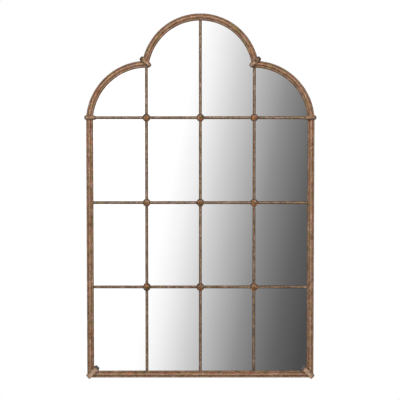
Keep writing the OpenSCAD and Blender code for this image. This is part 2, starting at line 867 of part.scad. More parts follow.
module corner_key_left() { color("dimgray") hung() left() corner_key_solid(); }
module corner_key_right() { color("dimgray") hung() corner_key_solid(); }
module spring_splice_left() { color("dimgray") hung() left() spring_splice_solid(); }
module spring_splice_right() { color("dimgray") hung() spring_splice_solid(); }
module valley_splice_left() { color("dimgray") hung() left() valley_splice_solid(); }
module valley_splice_right() { color("dimgray") hung() valley_splice_solid(); }
module splice_screws() {
    color("silver") hung() both_sides()
        for (p = concat(corner_screws, spring_screws, valley_screws)) splice_screw(p);
}

module vertical_bar_left() { color(rust_dark) hung() vertical_bar_solid(bar_xs[0]); }
module vertical_bar_centre() { color(rust_dark) hung() vertical_bar_solid(bar_xs[1]); }
module vertical_bar_right() { color(rust_dark) hung() vertical_bar_solid(bar_xs[2]); }
module horizontal_bar_lower() { color(rust_dark) hung() horizontal_bar_solid(bar_ys[0]); }
module horizontal_bar_middle() { color(rust_dark) hung() horizontal_bar_solid(bar_ys[1]); }
module horizontal_bar_upper() { color(rust_dark) hung() horizontal_bar_solid(bar_ys[2]); }

module boss_lower_left() { color(rust_brown) hung() boss_solid(bar_xs[0], bar_ys[0]); }
module boss_lower_centre() { color(rust_brown) hung() boss_solid(bar_xs[1], bar_ys[0]); }
module boss_lower_right() { color(rust_brown) hung() boss_solid(bar_xs[2], bar_ys[0]); }
module boss_middle_left() { color(rust_brown) hung() boss_solid(bar_xs[0], bar_ys[1]); }
module boss_middle_centre() { color(rust_brown) hung() boss_solid(bar_xs[1], bar_ys[1]); }
module boss_middle_right() { color(rust_brown) hung() boss_solid(bar_xs[2], bar_ys[1]); }
module boss_upper_left() { color(rust_brown) hung() boss_solid(bar_xs[0], bar_ys[2]); }
module boss_upper_centre() { color(rust_brown) hung() boss_solid(bar_xs[1], bar_ys[2]); }
module boss_upper_right() { color(rust_brown) hung() boss_solid(bar_xs[2], bar_ys[2]); }
module boss_screws() { color("silver") hung() for (x = bar_xs, y = bar_ys) boss_screw(x, y); }

module mirror_glass() {
    color("lightsteelblue") hung() translate([0, 0, glass_back])
        linear_extrude(glass_t) opening_plan(rebate_w - edge_gap);
}
module setting_blocks() {
    color([0.15, 0.15, 0.15]) hung() both_sides() setting_block(col);
}
module backing_board() {
    color("peru") hung() translate([0, 0, board_back])
        linear_extrude(board_t) opening_plan(rebate_w - edge_gap);
}
module retaining_clips() {
    color("silver") hung() {
        both_sides() for (p = side_clips) clip(p);
        clip(top_clip);
    }
}
module clip_screws() {
    color("silver") hung() {
        both_sides() for (p = side_clips) clip_screw(p);
        clip_screw(top_clip);
    }
}

module hanger_strap_left() { color("silver") hung() left() hanger_strap_solid(); }
module hanger_strap_right() { color("silver") hung() hanger_strap_solid(); }
module hanger_ring_left() { color("gray") hung() left() hanger_ring_solid(); }
module hanger_ring_right() { color("gray") hung() hanger_ring_solid(); }
module hanger_screws() { color("silver") hung() both_sides() hanger_screw_pair(); }

module wall_pad_lower_left() { color([0.15, 0.15, 0.15]) hung() left() wall_pad(lower_pad); }
module wall_pad_lower_right() { color([0.15, 0.15, 0.15]) hung() wall_pad(lower_pad); }
module wall_pad_upper_left() { color([0.15, 0.15, 0.15]) hung() left() wall_pad(upper_pad); }
module wall_pad_upper_right() { color([0.15, 0.15, 0.15]) hung() wall_pad(upper_pad); }

stile_left();
stile_right();
bottom_rail();
shoulder_arch_left();
shoulder_arch_right();
crown_arch();
corner_clasp_left();
corner_clasp_right();
spring_clasp_left();
spring_clasp_right();
valley_clasp_left();
valley_clasp_right();
corner_key_left();
corner_key_right();
spring_splice_left();
spring_splice_right();
valley_splice_left();
valley_splice_right();
splice_screws();
vertical_bar_left();
vertical_bar_centre();
vertical_bar_right();
horizontal_bar_lower();
horizontal_bar_middle();
horizontal_bar_upper();
boss_lower_left();
boss_lower_centre();
boss_lower_right();
boss_middle_left();
boss_middle_centre();
boss_middle_right();
boss_upper_left();
boss_upper_centre();
boss_upper_right();
boss_screws();
mirror_glass();
setting_blocks();
backing_board();
retaining_clips();
clip_screws();
hanger_strap_left();
hanger_strap_right();
hanger_ring_left();
hanger_ring_right();
hanger_screws();
wall_pad_lower_left();
wall_pad_lower_right();
wall_pad_upper_left();
wall_pad_upper_right();
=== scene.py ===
"""Arched lattice wall mirror: the looks of every piece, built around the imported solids.

Sizes are in metres in the model's own frame: X runs across, Z up, the wall is the plane Y = 0
and the room is towards -Y. Depths run forward from the back of the frame, and u runs outward
from the frame's sight edge.
"""

import math

import bmesh
import bpy
from bpy.props import FloatProperty, FloatVectorProperty, PointerProperty
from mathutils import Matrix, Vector, noise
from mathutils.geometry import tessellate_polygon


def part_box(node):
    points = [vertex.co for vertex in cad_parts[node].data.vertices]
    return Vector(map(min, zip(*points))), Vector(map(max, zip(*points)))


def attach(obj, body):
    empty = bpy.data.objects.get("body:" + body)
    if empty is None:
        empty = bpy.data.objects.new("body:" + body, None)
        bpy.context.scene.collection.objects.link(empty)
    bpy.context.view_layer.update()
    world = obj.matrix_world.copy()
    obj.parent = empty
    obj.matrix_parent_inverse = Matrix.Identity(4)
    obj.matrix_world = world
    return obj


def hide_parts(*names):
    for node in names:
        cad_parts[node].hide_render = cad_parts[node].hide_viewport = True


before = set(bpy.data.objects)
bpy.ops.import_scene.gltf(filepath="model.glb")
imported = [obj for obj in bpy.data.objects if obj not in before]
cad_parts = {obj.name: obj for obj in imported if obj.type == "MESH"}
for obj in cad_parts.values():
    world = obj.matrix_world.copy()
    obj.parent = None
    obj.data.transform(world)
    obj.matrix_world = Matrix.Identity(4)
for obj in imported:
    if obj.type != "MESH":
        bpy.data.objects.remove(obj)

bl_info = {
    "name": "Arched Lattice Wall Mirror",
    "version": (1, 0, 0),
    "blender": (4, 5, 0),
    "location": "View3D > Sidebar > Mirror",
    "description": "Builds the looks of an aged, arched lattice wall mirror",
    "category": "Add Mesh",
}

BODY = "mirror"
SIDES = (("left", -1), ("right", 1))
STILE_LO, STILE_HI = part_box("stile_right")
HALF_W = STILE_HI.x
FACE_W = STILE_HI.x - STILE_LO.x
BACK = STILE_HI.y
CROWN_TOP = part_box("crown_arch")[1].z
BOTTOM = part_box("bottom_rail")[0].z
GLASS_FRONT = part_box("mirror_glass")[0].y
GLASS_FACE = BACK - GLASS_FRONT
BAR_LO, BAR_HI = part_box("horizontal_bar_upper")
BAR_BACK = BACK - BAR_HI.y
BAR_R = (BAR_HI.z - BAR_LO.z) / 2
COLUMNS = {side: sum(corner.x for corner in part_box("vertical_bar_" + side)) / 2
           for side in ("left", "centre", "right")}
ROWS = {row: sum(corner.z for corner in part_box("horizontal_bar_" + row)) / 2
        for row in ("lower", "middle", "upper")}
SPRING = ROWS["upper"]

# Between two channels of the frame, and at a valley as an angle in radians
JOINT_GAP = 0.0001
VALLEY_GAP = 0.0002
# Between a bar's end and the frame, and round a bar in a notch or under a boss
SEAT_GAP = 0.0002
LAP_ROOM = 0.00015
# How far a block reaches into the channel round it, and its bevel
WELD = 0.0004
BLOCK_BEVEL = 0.0006

# Where the blocks of the clips and pads are: angles in degrees round an arch's centre, and
# along the rail in units of the distance between two bars
CROWN_CLIPS = (38, 90, 142)
CROWN_PADS = (60, 120)
SHOULDER_CLIP = 48
RAIL_CLIPS = (-1.5, -0.5, 0.5, 1.5)

# The corners and the rings of a boss's front, and its back's rings as shares of its radius
BOSS_CORNERS = 96
BOSS_RINGS = 60
BOSS_BACK = (1, 0.85, 0.65, 0.45, 0.3, 0.15)

# For each kind of clasp: the turn of its length in degrees, the pale ridge's share of the
# width, how strongly the ridge is painted pale, and where it stops, as a share of half the
# length. The pale ridge is a painted highlight along the crown, with rubbed wear.
CLASPS = {"corner": (135, 0.84, 1.0, 0.71), "spring": (0, 0.22, 0.4, 0.71),
          "valley": (41, 0.36, 0.6, -0.1)}

# Noise on the old metal, in waves per metre, and the level over which it bites out a chip
WAVES, PITS, CHIPS = 24, 260, 95
CHIP_SHIFT = Vector((4, 9, 2))
CHIP_LEVEL = 0.42
SHARP_ANGLE = math.radians(48)
# The finish is drawn out along a member, and each member shows another part of it
ALONG_SHRINK = 0.5
ALONG_SHIFT = 0.37
ALONG_SHIFTS = 97

# The camera's frame in pixels, the lamps and the floor
FRAME_PX = 400
KEY_LAMP_AT = (-1.9, -3.1, 1.9)
SIDE_LAMP_AT = (2.4, -2.5, 2.0)
LAMP_SIZE = 1.4
WHITE = (1, 1, 1, 1)
FLOOR_TONES = (0.32, 0.32, 0.31, 1), (0.36, 0.36, 0.35, 1)
FLOOR_GLOW = 0.75
FLOOR_CORNERS = 96
# How much of the even light comes from above, and how far the studio leans to the right
OVERHEAD = 0.45
STUDIO_LEAN = -0.2
# The studio's brightness across it, from far left (-1) to far right (1), as the glass shows it
STUDIO = ((-0.9, 0.4), (-0.64, 0.95), (-0.42, 0.2), (-0.28, 0.55), (-0.16, 1.3),
          (-0.03, 1.09), (-0.006, 0.95), (0.0245, 0.68), (0.0475, 0.505), (0.064, 0.395),
          (0.079, 0.29), (0.098, 0.208), (0.12, 0.131), (0.15, 0.076), (0.27, 0.07),
          (0.42, 0.16), (0.64, 0.85), (0.9, 0.3))


def srgb(red, green, blue):
    """A colour read off a screen, 0 to 255, as the linear colour that Blender keeps."""
    def lift(value):
        value /= 255
        return value / 12.92 if value <= 0.04045 else ((value + 0.055) / 1.055) ** 2.4
    return lift(red), lift(green), lift(blue), 1.0


def length(name, default, text):
    return FloatProperty(name=name, description=text, default=default, min=0.0,
                         unit="LENGTH", precision=4)


def power(name, default, text):
    return FloatProperty(name=name, description=text, default=default, min=0.0,
                         unit="POWER")


def pixels(name, default, text):
    return FloatProperty(name=name, description=text, default=default, min=0.0,
                         subtype="PIXEL")


def colour(name, default, text):
    return FloatVectorProperty(name=name, description=text, default=default, size=4,
                               min=0.0, max=1.0, subtype="COLOR")


class MirrorSizes(bpy.types.PropertyGroup):
    """Sizes of the mouldings and castings that the solids don't give by their boxes."""
    plate: length("Face plate", 0.004, "Thickness of the moulded face plate")
    limb: length("Limb", 0.0025, "Thickness of the two limbs behind the face plate")
    rebate: length("Rebate", 0.009, "Width of the rebate that takes the glass")
    recess: length("Back recess", 0.009, "Depth of the open back behind the board")
    sight_bead: length("Sight bead", 0.0044, "Radius of the bead along the sight edge")
    sight_sink: length("Sight bead sink", 0.002, "How far that bead is sunk in the plate")
    edge_bead: length("Edge bead", 0.0035, "Radius of the bead along the outer edge")
    quirk: length("Quirk", 0.0008, "Width of the groove between two beads")
    margin: length("Bead margin", 0.0003, "Flat strip beside the first and last bead")
    arris: length("Arris", 0.0003, "Radius of the worn corners")
    crown_r: length("Crown radius", 0.258, "Outer radius of the crown arch")
    shoulder_r: length("Shoulder radius", 0.268, "Outer radius of a shoulder arch")
    shoulder_drop: length("Shoulder drop", 0.020, "Shoulder centre below the spring line")
    ring_step: length("Ring step", 0.003, "Distance between two rings of a swept moulding")
    clip_block: length("Clip block", 0.020, "Length of the blocks that the clips are screwed to")
    pad_block: length("Pad block", 0.018, "Length of the blocks that the wall pads stand on")
    pad_height: length("Pad height", 0.115, "Lower wall pads above the underside")
    hanger_block: length("Hanger block", 0.068, "Length of the blocks behind the hangers")
    hanger_drop: length("Hanger drop", 0.028, "Middle of those blocks below the rings' pivots")
    valley_clasp_w: length("Valley clasp width", 0.022, "Width of a valley clasp")
    spring_clasp_w: length("Spring clasp width", 0.020, "Width of a clasp at the spring line")
    corner_clasp_w: length("Corner clasp width", 0.025, "Width of a corner clasp")
    corner_clasp: length("Corner clasp", 0.066, "Length of a corner clasp")
    spring_clasp: length("Spring clasp", 0.051, "Length of a clasp at the spring line")
    valley_clasp: length("Valley clasp", 0.058, "Length of a valley clasp")
    boss_r: length("Boss radius", 0.017, "Radius of a boss over its rim")
    boss_dome: length("Boss dome", 0.0125, "Radius of the raised dome on a boss")
    boss_dome_h: length("Dome height", 0.005, "Height of the dome over the rim")
    boss_rim_t: length("Rim thickness", 0.0026, "Thickness of the rim of a boss")
    boss_saddle: length("Saddle", 0.0016, "How far the rim is let down over the bars")
    boss_button: length("Button", 0.0032, "Radius of the button in the middle of a boss")
    dent: length("Dents", 0.00022, "Depth of the slow waves in the old metal")
    pitting: length("Pitting", 0.00012, "Depth of the fine pits in the old metal")
    chip: length("Chips", 0.0011, "Depth of the chips along the mouldings")


class MirrorColours(bpy.types.PropertyGroup):
    """Colours of the finishes."""
    ground: colour("Brown", srgb(147, 114, 88), "Main brown of the aged iron")
    rust: colour("Rust", srgb(156, 109, 84), "Orange rust on the aged iron")
    bloom: colour("Bloom", srgb(168, 134, 121), "Pinkish bloom on the aged iron")
    olive: colour("Olive", srgb(140, 116, 80), "Olive brown on the aged iron")
    worn: colour("Worn", srgb(208, 172, 140), "Pale metal and primer where the finish is worn")
    # Dirt in the grooves and pits, and also the colour of the painted shade along edges, rims
    # and clasp ends.
    grime_and_shade: colour("Grime_And_Shade", srgb(62, 46, 38), "Dark dirt in the grooves")
    bar_ground: colour("Bar brown", srgb(122, 99, 77), "Main brown of the glazing bars")
    bar_rust: colour("Bar rust", srgb(126, 93, 70), "Rust on the glazing bars")
    # Painted highlight along the clasps' crowned ridge, with rubbed wear.
    clasp_highlight_and_wear: colour("Clasp face", srgb(206, 174, 148), "Rubbed ridge of the clasps")
    clasp_side: colour("Clasp side", srgb(114, 88, 68), "Brown sides of the clasps")
    valley_side: colour("Valley clasp side", srgb(80, 61, 46), "Darker sides of those clasps")
    # Painted shade where the clasps' ends turn back.
    clasp_end_shade: colour("Clasp end", srgb(82, 78, 72), "Dark iron at the ends of the clasps")
    boss_ground: colour("Boss brown", srgb(130, 96, 64), "Main brown of the bosses")
    boss_rust: colour("Boss rust", srgb(180, 118, 72), "Orange rust on the bosses")
    boss_olive: colour("Boss olive", srgb(98, 80, 48), "Dark olive on the bosses")
    steel: colour("Steel", srgb(92, 88, 84), "Joint plates")
    zinc: colour("Zinc", srgb(176, 178, 180), "Plated clips, screws and straps")
    silver: colour("Silvering", (0.93, 0.935, 0.93, 1.0), "Silvered glass")
    board: colour("Hardboard", srgb(120, 84, 54), "Backing board")
    rubber: colour("Rubber", srgb(34, 34, 35), "Wall pads and setting blocks")


class MirrorStage(bpy.types.PropertyGroup):
    """Camera, light and floor."""
    camera_away: length("Camera distance", 4.0094, "Camera in front of the glass")
    camera_height: FloatProperty(name="Camera height", default=-0.096, unit="LENGTH",
                                 description="Camera above the line of the hanging rings")
    camera_tilt: FloatProperty(name="Camera tilt", default=math.radians(2.2),
                               subtype="ANGLE", description="How far the camera looks down")
    focal_px: pixels("Focal length", 913.0, "Focal length in pixels of a 400 pixel frame")
    centre_x: pixels("Centre X", 200.35, "Pixel column of the camera's axis")
    centre_y: pixels("Centre Y", 196.85, "Pixel row of the camera's axis")
    floor_below: length("Floor below", 0.62, "Floor below the underside of the mirror")
    floor_r: length("Floor radius", 1.4, "Radius of the round floor")
    ambient: FloatProperty(name="Ambient", default=0.52, min=0.0, max=1.0, subtype="FACTOR",
                           description="Level of the even light all round")
    key_power: power("Key lamp", 78, "Lamp in front, up on the left")
    side_power: power("Side lamp", 40, "Lamp in front on the right")


# Shader building

class Wiring:
    """Adds nodes to one node tree and joins them."""

    def __init__(self, tree):
        self.tree = tree

    def add(self, kind, **settings):
        node = self.tree.nodes.new(kind)
        for key, value in settings.items():
            setattr(node, key, value)
        return node

    def feed(self, socket, value):
        """Joins an output to the socket, or sets the socket's own value."""
        if isinstance(value, bpy.types.NodeSocket):
            self.tree.links.new(value, socket)
        else:
            socket.default_value = value

    def feed_all(self, sockets, values):
        for key, value in values.items():
            self.feed(sockets[key], value)

    def put(self, kind, *values, **settings):
        """The first output of a new node whose inputs take the values in their order."""
        node = self.add(kind, **settings)
        for socket, value in zip(node.inputs, values):
            self.feed(socket, value)
        return node.outputs[0]

    def math(self, operation, first, second=0.0, clamp=False):
        return self.put("ShaderNodeMath", first, second, operation=operation, use_clamp=clamp)

    def times(self, first, second):
        return self.math("MULTIPLY", first, second)

    def scaled(self, value, factor, offset):
        """value * factor + offset, where offset may be a socket."""
        return self.put("ShaderNodeMath", value, factor, offset, operation="MULTIPLY_ADD")

    def vector(self, operation, first, second):
        return self.put("ShaderNodeVectorMath", first, second, operation=operation)

    def parts(self, vector):
        """The outputs X, Y and Z of a vector."""
        node = self.add("ShaderNodeSeparateXYZ")
        self.feed(node.inputs[0], vector)
        return node.outputs

    def noise(self, place, scale, detail=3.0, rough=0.55, shift=0.0):
        """Noise of that many waves per metre. A shift gives another part of it."""
        if shift:
            place = self.vector("ADD", place, (shift, -shift, 2 * shift))
        node = self.add("ShaderNodeTexNoise")
        self.feed_all(node.inputs, {"Vector": place, "Scale": scale, "Detail": detail,
                                    "Roughness": rough})
        return node.outputs["Fac"]

    def step(self, value, low, high):
        """0 below low, 1 above high, and a smooth rise between them."""
        return self.put("ShaderNodeMapRange", value, low, high,
                        interpolation_type="SMOOTHSTEP")

    def blend(self, share, first, second, mode="MIX"):
        node = self.add("ShaderNodeMix", data_type="RGBA", blend_type=mode)
        for slot, value in ((0, share), (6, first), (7, second)):
            self.feed(node.inputs[slot], value)
        return node.outputs[2]

    def bump(self, height, distance, strength=1.0):
        """A normal from a height, with the bump's depth in metres."""
        node = self.add("ShaderNodeBump")
        self.feed_all(node.inputs, {"Strength": strength, "Distance": distance,
                                    "Height": height})
        return node.outputs["Normal"]

    def seen(self):
        """1 for what the camera sees directly or through glass."""
        path = self.add("ShaderNodeLightPath").outputs
        return self.math("MAXIMUM", path["Is Camera Ray"], path["Is Transmission Ray"])


def fresh_wiring(owner):
    """The wiring of a material or a world, in its emptied node tree."""
    owner.use_nodes = True
    owner.node_tree.nodes.clear()
    return Wiring(owner.node_tree)


FINISH_RESULTS = {"colour": ("Color",), "value": ("Roughness", "Height")}


def new_group(name, inputs, outputs):
    """An empty shader node group, with its wiring, its given values and its results."""
    group = bpy.data.node_groups.new(name, "ShaderNodeTree")
    kinds = {"colour": "NodeSocketColor", "value": "NodeSocketFloat",
             "vector": "NodeSocketVector"}
    for direction, sockets in (("INPUT", inputs), ("OUTPUT", outputs)):
        for kind, labels in sockets.items():
            for label in labels:
                group.interface.new_socket(label, in_out=direction, socket_type=kinds[kind])
    wiring = Wiring(group)
    given = wiring.add("NodeGroupInput").outputs
    result = wiring.add("NodeGroupOutput").inputs
    return group, wiring, given, result


def place_group(w, tree, inputs):
    node = w.add("ShaderNodeGroup", node_tree=tree)
    w.feed_all(node.inputs, inputs)
    return node.outputs


def make_patina():
    """Mottled, worn and grimy old iron, for every casting and moulding. The grime that the marks
    ask for is dirt and painted shade at once, darkening grooves, edges and rims.
    """
    group, w, given, result = new_group(
        "Patina",
        {"vector": ("Along", "Place"), "value": ("Crest", "Nook", "Wear"),
         "colour": ("Ground", "Rust", "Bloom", "Olive", "Worn", "Grime_And_Shade")}, FINISH_RESULTS)
    along, place = given["Along"], given["Place"]
    tone = given["Ground"]
    for label, scale, shift, low, high in (("Rust", 55, 0.0, 0.46, 0.62),
                                           ("Bloom", 80, 3.1, 0.50, 0.66),
                                           ("Olive", 65, 7.3, 0.50, 0.64)):
        patches = w.step(w.noise(along, scale, shift=shift), low, high)
        tone = w.blend(patches, tone, given[label])
    mottle = w.noise(along, 230, 4, 0.65)
    cloud = w.scaled(w.noise(place, 38, shift=6.6), 1.6, 0.22)
    shade = w.times(w.scaled(mottle, 2.4, -0.18), cloud)
    grey = w.put("ShaderNodeCombineColor", shade, shade, shade)
    tone = w.blend(1.0, tone, grey, "MULTIPLY")
    zones = w.step(w.noise(place, 26, 2, shift=1.7), 0.40, 0.60)
    flecks = w.step(w.noise(place, 220, 3, 0.6, shift=5.9), 0.53, 0.62)
    rubbed = w.step(w.noise(along, 150, 3, 0.6, shift=9.4), 0.50, 0.72)
    high = w.scaled(given["Crest"], 0.8, 0.2)
    pale = w.times(w.times(flecks, zones), high)
    pale = w.scaled(w.times(rubbed, high), 0.35, pale)
    pale = w.math("MULTIPLY", pale, given["Wear"], clamp=True)
    tone = w.blend(pale, tone, given["Worn"])
    pits = w.step(w.noise(place, 420, 3, 0.7, shift=2.2), 0.40, 0.32)
    # Dirt and painted shade: the marks' mask blends in the grime colour where grooves, edges and
    # rims would lie in shade.
    dirt = w.times(w.step(w.noise(along, 90, shift=4.4), 0.08, 0.80), given["Nook"])
    dark = w.math("MINIMUM", w.scaled(pits, 0.45, dirt), 1.0)
    w.feed_all(result, {
        "Color": w.blend(dark, tone, given["Grime_And_Shade"]),
        "Roughness": w.scaled(pale, -0.1, w.scaled(mottle, 0.25, 0.48)),
        "Height": w.scaled(pale, -0.3, w.scaled(pits, -0.5, mottle))})
    return group


def make_galvanised():
    """Dull zinc plating with faint spangles and stains."""
    group, w, given, result = new_group(
        "Galvanised", {"vector": ("Place",), "colour": ("Plating", "Stain")}, FINISH_RESULTS)
    place = given["Place"]
    cells = w.add("ShaderNodeTexVoronoi")
    w.feed_all(cells.inputs, {"Vector": place, "Scale": 420})
    cloud = w.noise(place, 120, 4)
    dull = w.times(w.step(cloud, 0.42, 0.75), 0.5)
    tone = w.blend(dull, given["Plating"], given["Stain"])
    spangle = w.times(cells.outputs["Distance"], 0.2)
    w.feed_all(result, {
        "Color": w.blend(spangle, tone, (0.8, 0.8, 0.82, 1), "SCREEN"),
        "Roughness": w.scaled(cloud, 0.3, 0.22), "Height": w.noise(place, 900, 2)})
    return group


def new_material(slot, metallic=0.0, shine=0.5):
    """A slot's material: its wiring, its Principled shader's inputs and object coordinates."""
    w = fresh_wiring(bpy.data.materials.new(slot + "_finish"))
    shader = w.add("ShaderNodeBsdfPrincipled")
    shader.inputs["Metallic"].default_value = metallic
    shader.inputs["Specular IOR Level"].default_value = shine
    w.feed(w.add("ShaderNodeOutputMaterial").inputs["Surface"], shader.outputs[0])
    return w, shader.inputs, w.add("ShaderNodeTexCoord").outputs["Object"]


def finish_material(w, shader, group, bump):
    """Joins a finish group to the shader, with its height as a bump in metres."""
    w.feed_all(shader, {"Base Color": group["Color"], "Roughness": group["Roughness"],
                        "Normal": w.bump(group["Height"], bump, 0.8)})


def place_patina(w, tree, colours, inputs):
    """The patina with the common colours, apart from what the inputs say."""
    common = {label: getattr(colours, label.lower())
              for label in ("Rust", "Bloom", "Olive", "Worn", "Grime_And_Shade")}
    return place_group(w, tree, common | inputs)


def mesh_marks(w, place):
    """The marks that a piece's mesh holds for the patina."""
    return {label: w.add("ShaderNodeAttribute", attribute_name=label.lower()).outputs[kind]
            for label, kind in (("Along", "Vector"), ("Crest", "Fac"), ("Nook", "Fac"))}


def plate_marks(w, place):
    """A joint plate is rubbed more towards its front, and has neither dirt nor painted shade."""
    depth = w.scaled(w.parts(place)["Y"], -1.0, BACK)
    return {"Along": place, "Crest": w.step(depth, 0.0, 0.012), "Nook": 0.0}


def patina_material(slot, tree, colours, bump, marks=mesh_marks, metallic=0.15, **inputs):
    """Aged iron, with the patina's other inputs as they are named in the group."""
    w, shader, place = new_material(slot, metallic, 0.15)
    found = place_patina(w, tree, colours, {"Place": place, **marks(w, place), **inputs})
    finish_material(w, shader, found, bump)


def make_clasp_marks():
    """Where a clasp has its pale ridge of painted highlight and wear, its edges of dirt and
    painted shade, and its ends and a groove line in painted shade, for both halves of the
    mirror.
    """
    group, w, given, result = new_group(
        "Clasp Marks",
        {"vector": ("Place", "Middle", "Way", "Aside"),
         "value": ("Half Length", "Half Width", "Spread", "Reach")},
        {"value": ("Highlight_And_Wear_Ridge", "Shade_And_Dirt_Edge", "End", "Line", "Streak")})
    place = given["Place"]
    spot = w.parts(place)
    folded = w.put("ShaderNodeCombineXYZ", w.math("ABSOLUTE", spot["X"]), 0.0, spot["Z"])
    off = w.vector("SUBTRACT", folded, given["Middle"])
    ragged = w.scaled(w.noise(place, 190), 0.5, -0.25)

    def share(way, half):
        """How far the place is along a way, as a share of the clasp's half size."""
        node = w.add("ShaderNodeVectorMath", operation="DOT_PRODUCT")
        w.feed(node.inputs[0], off)
        w.feed(node.inputs[1], way)
        return w.math("DIVIDE", node.outputs["Value"], half)

    across = share(given["Aside"], given["Half Width"])
    signed = share(given["Way"], given["Half Length"])
    along = w.math("ABSOLUTE", signed)
    grain = w.put("ShaderNodeCombineXYZ", across, w.times(signed, 0.6))
    wide = w.math("ADD", w.math("ABSOLUTE", across), ragged)
    narrow = w.math("SUBTRACT", given["Spread"], wide)
    beyond = w.math("SUBTRACT", w.math("ADD", signed, ragged), given["Reach"])
    ridge = w.times(w.step(narrow, -0.12, 0.12), w.step(beyond, 0.09, -0.09))
    # A painted dark line of groove shade along one side of the clasp.
    line = w.math("ABSOLUTE", w.math("ADD", across, 0.66))
    w.feed_all(result, {
        "Highlight_And_Wear_Ridge": w.times(ridge, w.step(along, 0.98, 0.88)),
        # Dirt and painted shade towards both sides, where the crowned face falls away.
        "Shade_And_Dirt_Edge": w.step(wide, 0.66, 0.98),
        "End": w.math("MAXIMUM", w.step(w.scaled(ragged, 0.5, signed), 0.66, 0.80),
                      w.step(along, 0.88, 0.98)),
        "Line": w.step(w.math("ADD", line, ragged), 0.22, 0.08),
        "Streak": w.step(w.noise(grain, 3.2), 0.36, 0.60)})
    return group


def clasp_material(kind, patina, marks, colours, sizes):
    """A worn clasp: a pale ridge of painted highlight and rubbed wear, sides darkened with dirt
    and painted shade, and one long end in painted shade.
    """
    turn, spread, rubbed, ridge_end = CLASPS[kind]
    # The end colour is painted shade; the valley clasps take the grime and shade colour there.
    side, end = colours.clasp_side, colours.clasp_end_shade
    if kind == "valley":
        side, end = colours.valley_side, colours.grime_and_shade
    w, shader, place = new_material("worn_clasp_" + kind, 0.15, 0.2)
    low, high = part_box(kind + "_clasp_right")
    turn = math.radians(turn)
    way = (math.cos(turn), 0, math.sin(turn))
    found = place_group(w, marks, {
        "Place": place, "Middle": (low + high) / 2, "Way": way, "Aside": (-way[2], 0, way[0]),
        "Half Length": getattr(sizes, kind + "_clasp") / 2,
        "Half Width": getattr(sizes, kind + "_clasp_w") / 2,
        "Spread": spread, "Reach": ridge_end})
    skin = place_patina(w, patina, colours, {
        "Place": place, "Along": place, "Ground": side, "Wear": 0.8,
        "Crest": found["Highlight_And_Wear_Ridge"], "Nook": found["Shade_And_Dirt_Edge"]})
    finish_material(w, shader, skin, 0.0004)
    # Painted highlight with rubbed wear along the ridge, in the pale clasp colour.
    face = w.times(w.times(found["Highlight_And_Wear_Ridge"], found["Streak"]), rubbed)
    tone = w.blend(face, skin["Color"], colours.clasp_highlight_and_wear)
    # Painted groove shade, in the grime and shade colour.
    tone = w.blend(w.times(found["Line"], 0.6), tone, colours.grime_and_shade)
    # Painted shade over one long end and both tips.
    tone = w.blend(w.times(found["End"], 0.85), tone, end)
    w.feed(shader["Base Color"], tone)


def zinc_material(slot, tree, plating, stain):
    """Zinc plated steel."""
    w, shader, place = new_material(slot, metallic=0.85)
    finish_material(w, shader, place_group(w, tree, {
        "Place": place, "Plating": plating, "Stain": stain}), 0.0001)


def toned(base, factor, lift=0.0):
    """A lighter or darker version of a colour."""
    return tuple(min(1.0, factor * c + lift) for c in base[:3]) + (1,)


def mirror_material(silver):
    """Silvered glass: clear, with a trace of haze in the silver."""
    w, shader, place = new_material("mirror_glass", metallic=1.0)
    haze = w.step(w.noise(place, 6, 4), 0.45, 0.8)
    w.feed_all(shader, {"Base Color": w.blend(haze, silver, toned(silver, 0.985)),
                        "Roughness": w.scaled(haze, 0.008, 0.012)})


def board_material(brown):
    """Hardboard: pressed fibres, smooth and dark brown."""
    w, shader, place = new_material("hardboard")
    stretch = w.vector("MULTIPLY", place, (1.0, 1.0, 0.35))
    fibres = w.noise(stretch, 520, 5, 0.7)
    tone = w.blend(w.step(fibres, 0.35, 0.75), toned(brown, 0.5), toned(brown, 1.7))
    tone = w.blend(w.step(w.noise(place, 9), 0.3, 0.7), tone, brown)
    w.feed_all(shader, {"Base Color": tone, "Roughness": w.scaled(fibres, 0.3, 0.55),
                        "Normal": w.bump(fibres, 0.0002)})


def rubber_material(black):
    """Black rubber with a little grey dust."""
    w, shader, place = new_material("black_rubber")
    dust = w.step(w.noise(place, 300, 4, 0.7), 0.5, 0.8)
    w.feed_all(shader, {"Base Color": w.blend(dust, black, toned(black, 3.0, 0.02)),
                        "Roughness": w.scaled(dust, 0.2, 0.6)})


def build_materials(c, sizes):
    """Every finish, named after its slot in the record. c holds the mirror's colours."""
    patina, zinc, marks = make_patina(), make_galvanised(), make_clasp_marks()
    patina_material("aged_frame", patina, c, 0.0005, Ground=c.ground, Wear=0.8)
    patina_material("aged_bar", patina, c, 0.0004, Ground=c.bar_ground, Rust=c.bar_rust,
                    Wear=0.75)
    patina_material("aged_boss", patina, c, 0.0004, Ground=c.boss_ground, Rust=c.boss_rust,
                    Olive=c.boss_olive, Wear=0.7)
    patina_material("joint_plate", patina, c, 0.0002, plate_marks, 0.6, Ground=c.steel,
                    Wear=0.2)
    for kind in CLASPS:
        clasp_material(kind, patina, marks, c, sizes)
    for part, stain in (("screw", (120, 116, 108)), ("clip", (128, 122, 112)),
                        ("hanger", (110, 108, 104)), ("ring", (100, 98, 95))):
        zinc_material("zinc_" + part, zinc, c.zinc, srgb(*stain))
    mirror_material(c.silver)
    board_material(c.board)
    rubber_material(c.rubber)


def finish(slot):
    return bpy.data.materials[slot + "_finish"]


def dress(node, slot):
    """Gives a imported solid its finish."""
    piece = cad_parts[node]
    if not piece.material_slots:
        piece.data.materials.append(None)
    for place in piece.material_slots:
        place.material = finish(slot)
    return piece


def modify(piece, name, kind, **settings):
    modifier = piece.modifiers.new(name, kind)
    for key, value in settings.items():
        setattr(modifier, key, value)


# Mesh building

